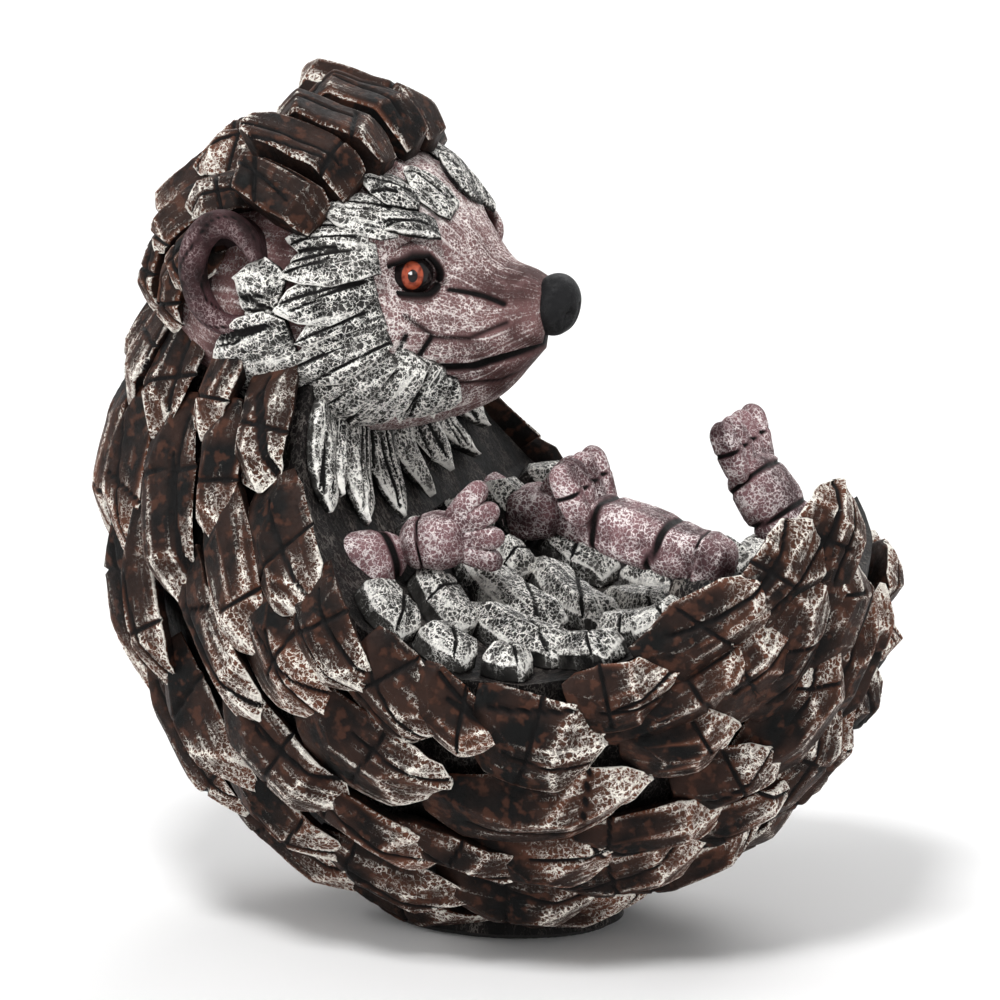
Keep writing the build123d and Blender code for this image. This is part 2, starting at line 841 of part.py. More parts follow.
def main():
    os.makedirs("parts", exist_ok=True)
    body = body_casting()
    foot = base_foot(body)
    eyes = [eye(-1), eye(1)]
    nose = nose_pad()
    ears = [ear(-1), ear(1)]
    skull, jaw = head_parts(body, eyes, nose, ears)
    nodes = {
        "body_casting": [body],
        "base_foot": [foot],
        "felt_pad": [felt_pad()],
        "head_casting": [skull],
        "lower_jaw": [jaw],
        "nose_pad": [nose],
        "eye_right": [eyes[0]],
        "eye_left": [eyes[1]],
        "ear_right": [ears[0]],
        "ear_left": [ears[1]],
    }
    bench = Bench()
    bench.lay(body, foot, skull, jaw, nose, *eyes, *ears)

    arms = [arm(-1, 0, body), arm(1, left_arm_drop, body)]
    right_heel = body_spot(right_heel_shares)
    right_ball = body_spot(right_ball_shares)
    left_heel = body_spot(left_heel_shares)
    left_ball = body_spot(left_ball_shares)
    right_leg, right_foot = hind_leg(body, right_heel, right_ball, right_toe_angle)
    left_leg, left_foot = hind_leg(body, left_heel, left_ball, left_toe_angle)
    nodes["arm_right"] = [arms[0]]
    nodes["arm_left"] = [arms[1]]
    nodes["hind_leg_right"] = [right_leg]
    nodes["hind_leg_left"] = [left_leg]
    nodes["hind_foot_right"] = [right_foot]
    nodes["hind_foot_left"] = [left_foot]
    bench.lay(*arms, right_leg, left_leg, right_foot, left_foot)

    nodes["chest_fur"] = belly_row(
        chest_fur_shares, fur_outline_shares, fur_width, fur_thickness, fur_lift, bench
    )
    nodes["belly_blocks"] = belly_row(
        belly_stone_shares, stone_outline_shares, stone_width, stone_thickness, 0, bench
    )
    nodes["face_fur_right"] = face_fur(-1, bench)
    nodes["face_fur_left"] = face_fur(1, bench)
    nodes["crown_quills"] = crown_row(
        crown_quill_shares, crown_outline_shares, crown_thickness, crown_lift, bench
    )
    nodes["nape_quills"] = crown_row(
        nape_quill_shares, quill_outline_shares, nape_thickness, nape_lift, bench
    )
    rows = {
        "rim_quills": rim_quill_shares,
        "flank_quills": flank_quill_shares,
        "side_quills": side_quill_shares,
        "back_quills": back_quill_shares,
        "spine_side_quills": spine_side_quill_shares,
    }
    for name, row_shares in rows.items():
        for side_name, side in (("right", 1), ("left", -1)):
            nodes[name + "_" + side_name] = quill_row(row_shares, side, bench)
    nodes["spine_quills"] = quill_row(spine_quill_shares, 1, bench)
    for name, solids in nodes.items():
        write(name, solids)


main()
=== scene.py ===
# %% [markdown]
# # A hedgehog figurine, curled up on its back
#
# The real ornament is a resin casting that a sculptor first cut in a chiselled, faceted
# style. It was painted in dark colours, and then pale paint was dragged over the high
# places. This lesson builds each piece as a surface worked out with numpy and paints it
# with nodes that read the carving, so the paint lies where a brush would leave it.

# %% Load the frame
import json
import math
import bpy
import numpy as np
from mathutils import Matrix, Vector

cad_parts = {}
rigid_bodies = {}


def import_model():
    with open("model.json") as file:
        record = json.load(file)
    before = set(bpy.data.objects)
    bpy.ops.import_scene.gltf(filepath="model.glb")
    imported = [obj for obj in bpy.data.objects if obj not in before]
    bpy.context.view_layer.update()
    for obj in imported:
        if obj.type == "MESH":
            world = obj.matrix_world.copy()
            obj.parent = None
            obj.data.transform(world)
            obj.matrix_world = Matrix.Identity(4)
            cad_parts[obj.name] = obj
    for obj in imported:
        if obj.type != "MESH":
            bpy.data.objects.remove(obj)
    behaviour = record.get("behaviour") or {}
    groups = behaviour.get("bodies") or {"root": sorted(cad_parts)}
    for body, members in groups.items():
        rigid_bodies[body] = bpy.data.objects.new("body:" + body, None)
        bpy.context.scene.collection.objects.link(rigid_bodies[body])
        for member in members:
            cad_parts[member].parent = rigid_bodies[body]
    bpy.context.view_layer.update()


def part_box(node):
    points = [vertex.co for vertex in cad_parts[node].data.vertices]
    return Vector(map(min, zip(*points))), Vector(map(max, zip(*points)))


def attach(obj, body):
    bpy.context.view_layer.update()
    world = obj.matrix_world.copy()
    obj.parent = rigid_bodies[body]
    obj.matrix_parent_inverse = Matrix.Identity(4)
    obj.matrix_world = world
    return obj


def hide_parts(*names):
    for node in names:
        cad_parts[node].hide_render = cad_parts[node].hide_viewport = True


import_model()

# %% [markdown]
# ## The surfaces that the carving lies on
#
# The back is an ellipsoid, and the belly is a hollow that it curls round. A place on the
# back is an angle round that hollow and a share from the spine (0) to the rim (1 on the
# right, -1 on the left). It could be modelled by hand as a sphere that is sculpted, but a
# formula keeps every quill exactly on the casting that the CAD model holds.

# %% The body's measures
body_radius = 0.086
body_half_width = 0.065
body_centre_height = 0.093
belly_radius = 0.056
belly_forward = 0.026
belly_height = 0.127
neck_angle = 166.0
neck_end_angle = 228.0
neck_width_share = 0.60


def unit(vectors):
    """Vectors divided by their own lengths."""
    return vectors / np.linalg.norm(vectors, axis=-1, keepdims=True)


def neck_taper(angle):
    """The share of its width that the body keeps: straight from the neck to full width."""
    share = np.clip((angle - neck_angle) / (neck_end_angle - neck_angle), 0, 1)
    return neck_width_share + (1 - neck_width_share) * share


print("the neck is", round(2000 * body_half_width * neck_taper(neck_angle)), "mm wide")


# %% The back
def back_surface(angle, side):
    """A ray from the hollow's axis meets the back's circle, and the side share turns that
    point about the hollow's axis towards the rim, on an ellipsoid's cross-section."""
    dx, dz = np.cos(np.radians(angle)), np.sin(np.radians(angle))
    rise = belly_height - body_centre_height
    along = belly_forward * dx + rise * dz
    reach = np.sqrt(body_radius ** 2 - belly_forward ** 2 - rise ** 2 + along ** 2)
    turn = np.arccos(np.clip((belly_radius + along) / reach, -1, 1)) * side
    radius = reach * np.cos(turn) - along
    width = body_half_width * neck_taper(angle)
    point = np.stack([
        belly_forward + radius * dx,
        -width / body_radius * reach * np.sin(turn),
        belly_height + radius * dz,
    ], -1)
    outward = np.stack([
        point[..., 0] / body_radius ** 2,
        point[..., 1] / body_half_width ** 2,
        (point[..., 2] - body_centre_height) / body_radius ** 2,
    ], -1)
    return point, unit(outward)


print("rim of the belly at its lowest:", back_surface(np.array(270.0), np.array(1.0))[0])


# %% The hollow of the belly
def belly_surface(angle, side):
    """The hollow is part of a cylinder, as wide as the ellipsoid is where it cuts it."""
    dx, dz = np.cos(np.radians(angle)), np.sin(np.radians(angle))
    x = belly_forward + belly_radius * dx
    z = belly_height + belly_radius * dz
    middle = x ** 2 + (z - body_centre_height) ** 2
    half = body_half_width * np.sqrt(np.clip(1 - middle / body_radius ** 2, 0, 1))
    half = half * neck_taper(angle)
    return np.stack([x, half * side, z], -1), np.stack([-dx, 0 * dx, -dz], -1)


print("floor of the belly at its lowest:", belly_surface(np.array(270.0), np.array(0.0))[0])

# %% [markdown]
# ## Chiselled blocks
#
# A quill, a tuft of fur and a belly stone are the same thing in this style: a block whose
# top was cut by a few straight strokes. A sculptor would cut them one by one. Here the
# top is the lowest of several tilted planes, which gives flat facets and crisp ridges, and
# how close two planes are tells where a ridge runs. The paint needs that later.

# %% The top of one block
ridge_softness = 0.035  # a share of the block's thickness
rim_softness = 0.0006  # in metres, as every length here


def lowest_planes(planes, s, t):
    """Height and ridge closeness: the lowest of the planes c + a*s + b*t, and e to the
    minus of the distance to the next lowest one."""
    heights = np.stack([c + a * s + b * t for c, a, b in planes])
    heights.sort(axis=0)
    return heights[0], np.exp(-(heights[1] - heights[0]) / ridge_softness)


def groove(lines, x, y, half_width):
    """How deep carved lines are, from 0 to 1: a V that falls to 0 at half_width from
    each straight line between two points."""
    depth = np.zeros(np.broadcast(x, y).shape)
    for x0, y0, x1, y1 in lines:
        length = (x1 - x0) ** 2 + (y1 - y0) ** 2
        share = np.clip(((x - x0) * (x1 - x0) + (y - y0) * (y1 - y0)) / length, 0, 1)
        away = np.hypot(x - x0 - share * (x1 - x0), y - y0 - share * (y1 - y0))
        depth = np.maximum(depth, np.clip(1 - away / half_width, 0, 1))
    return depth


# %% One closed block
seat = 0.00035
most_sway, thinnest_top, rim_bevel = 0.15, 0.06, 0.10
ridge_wear, root_wear, tip_gain = 0.75, 0.25, 0.55


def block(surface, root, tip, size, style, chance):
    """A closed block on a surface. Its middle line runs from root to tip, its top is the
    lowest of the style's planes times the thickness, and its walls go down to a narrower
    underside that lifts off the surface towards the tip. Wear is high on ridges, on the rim
    and towards the tip, and the walls are darker the further down they go."""
    width, thickness, lift = size
    s = np.linspace(0, 1, style["rows"])[:, None]
    t = np.linspace(-1, 1, style["columns"])[None, :]
    point, outward = surface(root[0] + (tip[0] - root[0]) * s, root[1] + (tip[1] - root[1]) * s)
    run = unit(point[-1, 0] - point[0, 0])
    across = unit(np.cross(run, outward))
    length = np.linalg.norm(point[-1, 0] - point[0, 0])
    places, halves = style["outline"]
    left, right = (np.interp(s, places, halves * (1 + chance.uniform(
        -style["wobble"], style["wobble"], len(halves)))) for _ in range(2))
    sway = chance.uniform(-most_sway, most_sway) * np.sin(math.pi * s)
    top_x = (np.where(t < 0, left, right) * t + sway) * width / 2
    top, ridge = lowest_planes(style["planes"](chance), s, t)
    top = np.maximum(top, thinnest_top)
    cuts = groove(style["cuts"](chance, length, width), s * length, top_x, style["cut_half"])
    rim = np.minimum((1 - np.abs(t)) * (left + right) * width / 4, (1 - s) * length + 0 * t)
    rim = np.exp(-rim / rim_softness)
    top_z = top * thickness * (1 - rim_bevel * rim) - cuts * style["cut_depth"]
    under = lift * np.interp(s, *style["underside"])
    foot = style["foot"]
    down = np.linspace(0, 1, style["walls"] + 1)[None, 1:]
    wall_x = top_x[:, -1:] * (1 - down * (1 - foot))
    wall_z = top_z[:, -1:] * (1 - down)
    back_x = top_x[:, :1] * (foot + down * (1 - foot))
    back_z = top_z[:, :1] * down
    x = np.concatenate([top_x, wall_x, back_x[:, :-1]], 1)
    z = np.concatenate([top_z, wall_z, back_z[:, :-1]], 1) + under + seat
    points = point + across * x[..., None] + outward * z[..., None]
    tip_wear = np.interp(s, [0.0, 0.35, 0.8, 1.0], style["wear"]) + 0 * t
    wear = np.maximum(ridge * ridge_wear, rim) * (root_wear + (1 - root_wear) * tip_wear)
    wear = wear + tip_gain * tip_wear ** 2
    wall_share = np.concatenate([1 - down, 0 * down[:, :-1]], 1) + 0 * s
    return points, {
        "wear": np.concatenate([wear, 0.5 * wall_share * wear.mean()], 1),
        # painted shade: the walls get a cut of 0.25, which darkens them between the blocks
        "cut": np.concatenate([cuts, 0.25 + 0 * wall_share], 1),
        "along": s + 0 * x,
        "across": x / (width / 2),
        "tone": chance.uniform(0, 1) + 0 * x,
    }


print("blocks are seated", seat * 1000, "mm above the casting")

# %% [markdown]
# ## From numbers to meshes
#
# Every block is a ring of points carried along a line, so one helper can turn any number
# of such grids into one mesh. The masks become attributes on its points. `foreach_set`
# hands whole arrays over, which is much quicker than adding faces one at a time.

# %% Faces of one grid
# the cut mask holds the carved grooves, and also painted shade in creases, hollows and between
# blocks
mask_names = ("wear", "cut", "along", "across", "tone")


def grid_faces(rows, columns):
    """Quads round a closed grid, and a fan of triangles to a middle point at each end."""
    i, j = np.arange(rows - 1)[:, None], np.arange(columns)[None, :]
    after = (j + 1) % columns
    quads = np.stack([i * columns + j, i * columns + after,
                      (i + 1) * columns + after, (i + 1) * columns + j], -1)
    j, after = j[0], after[0]
    last = (rows - 1) * columns
    first_fan = np.stack([0 * j + rows * columns, after, j], -1)
    last_fan = np.stack([0 * j + rows * columns + 1, last + j, last + after], -1)
    return quads.reshape(-1, 4), np.concatenate([first_fan, last_fan])


print("a closed grid of 3 by 4 points has", [len(part) for part in grid_faces(3, 4)],
      "quads and triangles")


# %% Which way round it is
def signed_volume(points, triangles):
    """A sixth of the sum of each triangle's corners' triple product."""
    a, b, c = (points[triangles[:, k]] for k in range(3))
    return np.einsum("ij,ij->i", a, np.cross(b, c)).sum() / 6


# %% One mesh from many grids
def piece(name, grids, slot, nodes=()):
    """A mesh object from closed grids of points with masks, riding on the figurine. A grid
    whose volume comes out negative is inside out, so its faces are turned."""
    points, quads, fans, start = [], [], [], 0
    masks = {key: [] for key in mask_names}
    for grid, mask in grids:
        rows, columns = grid.shape[:2]
        flat = np.concatenate([grid.reshape(-1, 3), [grid[0].mean(0), grid[-1].mean(0)]])
        square, fan = grid_faces(rows, columns)
        triangles = np.concatenate([square[:, [0, 1, 2]], square[:, [0, 2, 3]], fan])
        if signed_volume(flat - flat.mean(0), triangles) < 0:
            square, fan = square[:, ::-1], fan[:, ::-1]
        points.append(flat)
        quads.append(square + start)
        fans.append(fan + start)
        start += len(flat)
        for key, values in masks.items():
            level = np.broadcast_to(mask.get(key, 0.0), (rows, columns)).astype(float)
            values.append(np.concatenate([level.ravel(), [level[0].mean(), level[-1].mean()]]))
    points, quads, fans = (np.concatenate(a) for a in (points, quads, fans))
    mesh = bpy.data.meshes.new(name)
    mesh.vertices.add(len(points))
    mesh.vertices.foreach_set("co", points.astype(np.float32).ravel())
    loops = np.concatenate([quads.ravel(), fans.ravel()]).astype(np.int32)
    mesh.loops.add(len(loops))
    mesh.loops.foreach_set("vertex_index", loops)
    starts = np.concatenate([np.arange(len(quads)) * 4, len(quads) * 4 + np.arange(len(fans)) * 3])
    mesh.polygons.add(len(starts))
    mesh.polygons.foreach_set("loop_start", starts.astype(np.int32))
    mesh.polygons.foreach_set("use_smooth", np.ones(len(starts), bool))
    mesh.update(calc_edges=True)
    mesh.validate()
    for key, values in masks.items():
        layer = mesh.attributes.new(key, "FLOAT", "POINT")
        layer.data.foreach_set("value", np.concatenate(values).astype(np.float32))
    thing = bpy.data.objects.new(name, mesh)
    bpy.context.scene.collection.objects.link(thing)
    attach(thing, "root")
    thing.data.materials.append(paints[slot])
    if nodes:
        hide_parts(*nodes)
    print(name, "blocks", len(grids), "faces", len(starts))

# %% [markdown]
# ## Paint
#
# The real paint is dark first. A pale colour is then dragged over with an almost dry
# brush, so it catches the ridges, the rims and the tips, and between them it leaves a
# fine net of lines round dark pits. An image could be painted on each piece, but nodes
# need no unwrapping and follow the carving wherever it goes. The net is the distance to
# the edges of Voronoi cells, and the wear mask on the points widens its lines until they
# close up.

# %% Nodes in few words
def wire(tree, kind, inputs=(), **settings):
    """A node with its settings and inputs set, each input a value or another socket."""
    node = tree.nodes.new("ShaderNode" + kind)
    for key, value in settings.items():
        setattr(node, key, value)
    for key, value in dict(inputs).items():
        if isinstance(value, bpy.types.NodeSocket):
            tree.links.new(value, node.inputs[key])
        else:
            node.inputs[key].default_value = value
    return node


def math_node(tree, operation, a, b=0.0, clamp=False):
    """One sum of two values or sockets, held between 0 and 1 where it is clamped."""
    node = wire(tree, "Math", {0: a, 1: b}, operation=operation, use_clamp=clamp)
    return node.outputs[0]


def total(tree, *parts):
    """All the parts added up, two at a time."""
    result = parts[0]
    for part in parts[1:]:
        result = math_node(tree, "ADD", result, part)
    return result


def ramp(tree, value, low, high, start=0.0, end=1.0):
    """A smooth step from start to end as the value goes from low to high."""
    node = wire(tree, "MapRange", {"Value": value, "From Min": low, "From Max": high,
                                   "To Min": start, "To Max": end},
                interpolation_type="SMOOTHSTEP")
    return node.outputs["Result"]


def blend_colours(tree, share, a, b):
    """Colour a where the share is 0 and colour b where it is 1."""
    node = wire(tree, "Mix", {0: share, 6: a, 7: b}, data_type="RGBA")
    return node.outputs[2]


def noise(tree, place, scale, detail, roughness=0.5):
    """Fractal noise, a value round 0.5, with its scale in cells to the metre."""
    return wire(tree, "TexNoise", {"Vector": place, "Scale": scale, "Detail": detail,
                                   "Roughness": roughness})


def new_material(name):
    """A material whose node tree is still empty."""
    material = bpy.data.materials.new(name)
    material.use_nodes = True
    material.node_tree.nodes.clear()
    return material, material.node_tree


# %% Where the pale paint lies
broad_share = 0.9
wear_needed = broad_share / 2  # the noise adds this on average, so it is taken off again
cut_hold_off = 1.1
thinnest_line = 0.022  # half a line's width, in cells of the net
net_bend = 2.6
# how worn a place is where each effect begins and where it is full
net_shows, strands_show, closes_up = (0.05, 0.55), (0.30, 0.80), (0.88, 1.30)
strand_edge, grain_edge = (0.56, 0.64), (0.30, 0.50)  # the noise across a strand's or pit's edge


def paint_left(tree, mask, broad, strand, cover, combed):
    """How much pale paint the brush leaves: wear plus a broad noise, the paint's cover and
    its strands, minus the cuts."""
    worn = total(tree, mask["wear"], math_node(tree, "MULTIPLY", broad, broad_share),
                 cover - wear_needed)
    worn = math_node(tree, "SUBTRACT", worn,
                     math_node(tree, "MULTIPLY", mask["cut"], cut_hold_off))
    sweep = math_node(tree, "MULTIPLY", math_node(tree, "SUBTRACT", strand, 0.5), combed)
    return math_node(tree, "MAXIMUM", total(tree, worn, sweep), 0.0)


def cracked_net(tree, here, fine, patchy, worn, net_size, brush):
    """1 on the lines of a net and 0 in its cells. The net is the edges of Voronoi cells,
    bent by noise, and its lines widen with the paint that is left."""
    bent = wire(tree, "VectorMath", {0: fine.outputs["Color"], 1: (0.5, 0.5, 0.5)},
                operation="SUBTRACT").outputs[0]
    bent = wire(tree, "VectorMath", {0: bent, "Scale": net_size * net_bend},
                operation="SCALE").outputs[0]
    bent = wire(tree, "VectorMath", {0: bent, 1: here}, operation="ADD").outputs[0]
    away = wire(tree, "TexVoronoi", {"Vector": bent, "Scale": 1 / net_size},
                feature="DISTANCE_TO_EDGE").outputs["Distance"]
    line = total(tree, math_node(tree, "MULTIPLY", worn, brush), thinnest_line)
    line = math_node(tree, "MULTIPLY", line, ramp(tree, patchy, 0.30, 0.68, 0.35, 1.75))
    return ramp(tree, math_node(tree, "DIVIDE", away, line), 0.5, 1.0, 1.0, 0.0)


def pale_paint(tree, net, worn, strand, fine, combed):
    """The share of pale paint: on the net, or all over where much is left, or on strands
    dragged along the block, and thinned by the casting's own grain."""
    share = math_node(tree, "MULTIPLY", net, ramp(tree, worn, *net_shows))
    share = math_node(tree, "MAXIMUM", share, ramp(tree, worn, *closes_up))
    drag = math_node(tree, "MULTIPLY", ramp(tree, strand, *strand_edge),
                     ramp(tree, worn, *strands_show, 0.0, combed * 0.5))
    share = math_node(tree, "MAXIMUM", share, drag)
    grain = ramp(tree, fine.outputs[0], *grain_edge, 0.40, 1.0)
    return math_node(tree, "MULTIPLY", share, grain, True)


# %% A dry-brushed paint
# painted shade: the near-black colour laid in grooves, creases and hollows where the cut mask is
# high
crevice_shade = (0.003, 0.0025, 0.0025, 1)
broad_scale, patchy_scale, fine_scale = 90.0, 330.0, 650.0  # in cells to the metre
strands_across, strands_along, strand_shift = 6.5, 1.6, 40.0  # to a half width, length, block
net_relief, bump_strength, satin = 0.00035, 0.55, 0.10
mottled, rusty = (0.35, 0.65), (0.52, 0.66)  # the noise where each begins and is full
tinged, crevice_shade_ramp = (0.15, 0.7), (0.05, 0.55)  # the wear and the cut where each begins and is full


def under_coat_and_shade(tree, mask, dark, middle, edge, broad, patchy, blush):
    """The dark colour mottled into the middle one, with specks of the edge colour, more of
    it where the block is worn, and painted shade, near black, in the cuts, creases and hollows."""
    base = blend_colours(tree, ramp(tree, broad, *mottled), dark, middle)
    rust = math_node(tree, "MULTIPLY", ramp(tree, patchy, *rusty, 0.0, 0.55), blush)
    base = blend_colours(tree, rust, base, edge)
    tinge = math_node(tree, "MULTIPLY", ramp(tree, mask["wear"], *tinged),
                      ramp(tree, mask["tone"], 0.1, 0.9, 0.35, 0.9))
    base = blend_colours(tree, tinge, base, edge)
    # painted shade: the cut mask darkens the colour towards near black
    return blend_colours(tree, ramp(tree, mask["cut"], *crevice_shade_ramp), base, crevice_shade)


def paint(name, dark, middle, pale, edge, net_size, cover, stretch=(1, 1, 1),
          roughness=0.55, blush=0.42, combed=1.4, brush=0.13):
    """An under coat with painted shade in its cuts, and the pale colour brushed over it. The net
    and the grain also stand out as a fine relief, and the sheen changes a little with the grain."""
    material, tree = new_material(name)
    here = wire(tree, "TexCoord").outputs["Object"]
    here = wire(tree, "Mapping", {"Vector": here, "Scale": stretch}).outputs[0]
    mask = {key: wire(tree, "Attribute", attribute_name=key).outputs["Fac"]
            for key in mask_names}
    broad = noise(tree, here, broad_scale, 4.0).outputs[0]
    patchy = noise(tree, here, patchy_scale, 2.0).outputs[0]
    fine = noise(tree, here, fine_scale, 5.0, 0.65)
    strand = wire(tree, "CombineXYZ", {
        "X": math_node(tree, "MULTIPLY", mask["across"], strands_across),
        "Y": math_node(tree, "MULTIPLY", mask["along"], strands_along),
        "Z": math_node(tree, "MULTIPLY", mask["tone"], strand_shift)}).outputs[0]
    strand = noise(tree, strand, 1.0, 4.0, 0.6).outputs[0]
    worn = paint_left(tree, mask, broad, strand, cover, combed)
    net = cracked_net(tree, here, fine, patchy, worn, net_size, brush)
    base = under_coat_and_shade(tree, mask, dark, middle, edge, broad, patchy, blush)
    colour = blend_colours(tree, pale_paint(tree, net, worn, strand, fine, combed), base, pale)
    height = total(tree, math_node(tree, "MULTIPLY", net, 0.6), fine.outputs[0])
    bump = wire(tree, "Bump", {"Height": height, "Strength": bump_strength,
                               "Distance": net_relief})
    sheen = ramp(tree, fine.outputs[0], 0.3, 0.7, roughness - 0.08, roughness + 0.12)
    shader = wire(tree, "BsdfPrincipled", {"Base Color": colour, "Roughness": sheen,
                                           "Normal": bump.outputs[0],
                                           "Specular IOR Level": satin})
    wire(tree, "OutputMaterial", {"Surface": shader.outputs[0]})
    return material


# %% The paints
# dark, middle, pale and edge colour, then the size of the net's cells and the cover
paints = {
    "quill_paint": paint("quill_paint", (0.003, 0.003, 0.003, 1), (0.030, 0.015, 0.011, 1),
                         (0.92, 0.88, 0.80, 1), (0.160, 0.062, 0.036, 1), 0.0013, -0.11,
                         blush=0.50),
    "fur_paint": paint("fur_paint", (0.008, 0.008, 0.008, 1), (0.060, 0.057, 0.053, 1),
                       (0.95, 0.93, 0.88, 1), (0.17, 0.16, 0.15, 1), 0.0012, 0.38,
                       brush=0.115),
    "head_paint": paint("head_paint", (0.058, 0.028, 0.027, 1), (0.185, 0.096, 0.094, 1),
                        (0.90, 0.83, 0.80, 1), (0.27, 0.155, 0.155, 1), 0.0010, 0.08,
                        brush=0.090),
    "ear_paint": paint("ear_paint", (0.010, 0.006, 0.006, 1), (0.068, 0.032, 0.035, 1),
                       (0.48, 0.39, 0.39, 1), (0.13, 0.065, 0.070, 1), 0.0012, -0.03,
                       combed=0.0),
    "paw_paint": paint("paw_paint", (0.050, 0.025, 0.028, 1), (0.24, 0.125, 0.135, 1),
                       (0.92, 0.84, 0.83, 1), (0.38, 0.23, 0.24, 1), 0.0011, 0.20, combed=0.0,
                       brush=0.110),
    "shadow_paint": paint("shadow_paint", (0.004, 0.004, 0.004, 1), (0.012, 0.010, 0.010, 1),
                          (0.22, 0.20, 0.18, 1), (0.03, 0.018, 0.016, 1), 0.0016, 0.22,
                          stretch=(1, 1, 0.45), combed=0.0),
    "nose_paint": paint("nose_paint", (0.007, 0.007, 0.008, 1), (0.017, 0.017, 0.018, 1),
                        (0.10, 0.10, 0.10, 1), (0.05, 0.05, 0.05, 1), 0.0010, -0.05,
                        roughness=0.42, combed=0.0),
}
print("paints:", sorted(paints))

# %% [markdown]
# ## Quills
#
# The quills lie in rows that run from the head round the back to the rump, each over the
# root of the next. Every row of the table is one quill: the angle at its root and tip,
# its place between spine and rim there, and its width. They could be scattered at
# random, but the ornament's maker laid them in courses, and so does the table.

# %% How a quill is cut
def quill_planes(chance):
    """Two long slopes from an off-centre ridge, a worn crown, a root that rises and two
    short cuts at the tip, as planes over the quill's length and half width."""
    ridge = chance.uniform(-0.35, 0.35)
    slant = chance.uniform(-0.45, 0.45)
    left, right = chance.uniform(0.35, 0.95, 2)
    crown = chance.uniform(0.88, 1.05)
    tip = chance.uniform(1.6, 3.0, 2)
    lean = chance.uniform(0.1, 0.6, 2)
    chop = chance.uniform(0.9, 1.5)
    return [
        (1.08 + left * (slant / 2 - ridge), -left * slant, left),
        (1.08 - right * (slant / 2 - ridge), right * slant, -right),
        (crown, chance.uniform(-0.1, 0.2), chance.uniform(-0.15, 0.15)),
        (0.45, 1.6, chance.uniform(-0.3, 0.3)),
        (0.22 + tip[0], -tip[0], lean[0]),
        (0.22 + tip[1], -tip[1], -lean[1]),
        (chop, -0.2, chance.choice([-0.7, 0.7])),
    ]


def quill_cuts(chance, length, width):
    """One or two carved lines that run slantwise along the quill and one in from its side,
    in metres from its root and its middle line."""
    lines = []
    for start in chance.uniform(-0.35, 0.35, chance.integers(1, 3)) * width:
        end = start + chance.uniform(-0.3, 0.3) * width
        lines.append((length * chance.uniform(0.05, 0.4), start, length * 1.05, end))
    side = chance.uniform(0.2, 0.8) * length
    lines.append((side, -width / 2, side + chance.uniform(-0.2, 0.3) * length,
                  chance.uniform(0, 0.5) * width))
    return lines


quill_style = {
    "rows": 52, "columns": 30, "walls": 4, "foot": 0.72, "wobble": 0.10,
    "outline": (np.array([0, 0.15, 0.4, 0.74, 0.9, 1.0]),
                np.array([0.60, 0.86, 1.0, 0.90, 0.58, 0.06])),
    "underside": ([0, 0.4, 0.74, 1.0], [0, 0.10, 0.55, 1.0]),
    "planes": quill_planes, "cuts": quill_cuts, "cut_half": 0.0006, "cut_depth": 0.0012,
    "wear": [0.05, 0.30, 0.85, 1.15],
}
print("points round one quill:", quill_style["columns"] + 2 * quill_style["walls"] - 1)

# %% The rows of quills on one side
rim_quills = np.array([
    (176, 199, 0.91, 0.93, 0.90), (197, 224, 0.95, 0.96, 0.90), (217, 244, 1.00, 0.93, 0.75),
    (236, 258, 0.99, 0.90, 0.90), (250, 269, 0.99, 0.90, 0.65), (263, 286, 0.94, 0.84, 1.10),
    (282, 304, 0.96, 0.93, 0.75), (298, 326, 0.98, 0.92, 0.90),
])
flank_quills = np.array([
    (172, 190, 0.74, 0.76, 0.90), (184, 205, 0.79, 0.80, 0.90), (196, 224, 0.81, 0.82, 0.85),
    (210, 239, 0.86, 0.84, 0.95), (232, 260, 0.82, 0.78, 1.10), (255, 289, 0.73, 0.68, 0.90),
    (285, 316, 0.88, 0.81, 0.90), (287, 303, 0.80, 0.62, 0.85), (299, 321, 0.74, 0.67, 1.00),
    (313, 338, 0.85, 0.92, 1.05),
])
side_quills = np.array([
    (170, 190, 0.52, 0.56, 0.90), (184, 212, 0.59, 0.67, 0.90), (205, 230, 0.66, 0.71, 0.90),
    (223, 246, 0.67, 0.64, 0.95), (238, 259, 0.62, 0.58, 0.90), (251, 269, 0.60, 0.50, 0.90),
    (262, 280, 0.58, 0.52, 0.95), (275, 293, 0.54, 0.42, 0.90), (289, 302, 0.55, 0.36, 0.95),
    (304, 330, 0.62, 0.60, 1.00), (322, 345, 0.66, 0.72, 0.90),
])
back_quills = np.array([
    (168, 187, 0.33, 0.36, 0.95), (182, 203, 0.40, 0.43, 0.95), (198, 219, 0.46, 0.49, 0.90),
    (214, 234, 0.49, 0.51, 0.90), (229, 246, 0.46, 0.44, 0.90), (242, 260, 0.42, 0.38, 0.90),
    (256, 274, 0.40, 0.34, 0.90), (269, 288, 0.38, 0.33, 0.95), (284, 299, 0.34, 0.20, 0.95),
    (296, 319, 0.38, 0.36, 1.00), (313, 332, 0.40, 0.44, 0.95),
])
spine_side_quills = np.array([
    (167, 186, 0.16, 0.16, 0.80), (182, 202, 0.19, 0.19, 0.80), (198, 218, 0.23, 0.24, 0.80),
    (214, 233, 0.25, 0.25, 0.80), (229, 247, 0.23, 0.22, 0.80), (243, 261, 0.20, 0.20, 0.85),
    (259, 277, 0.20, 0.19, 0.90), (274, 293, 0.20, 0.18, 0.90), (290, 310, 0.17, 0.17, 0.85),
    (305, 326, 0.18, 0.18, 0.90),
])
spine_quills = np.array([
    (167, 187, 0, 0, 0.75), (184, 205, 0, 0, 0.75), (202, 223, 0, 0, 0.80),
    (220, 241, 0, 0, 0.80), (289, 309, 0, 0, 0.80), (304, 326, 0, 0, 0.80),
])
quill_width, quill_thickness, quill_lift = 0.0215, 0.0085, 0.0045
rump_bend_angle, left_rump_share = 298.0, 0.5
print("quills in the rows of one side:",
      sum(map(len, (rim_quills, flank_quills, side_quills, back_quills, spine_side_quills))))

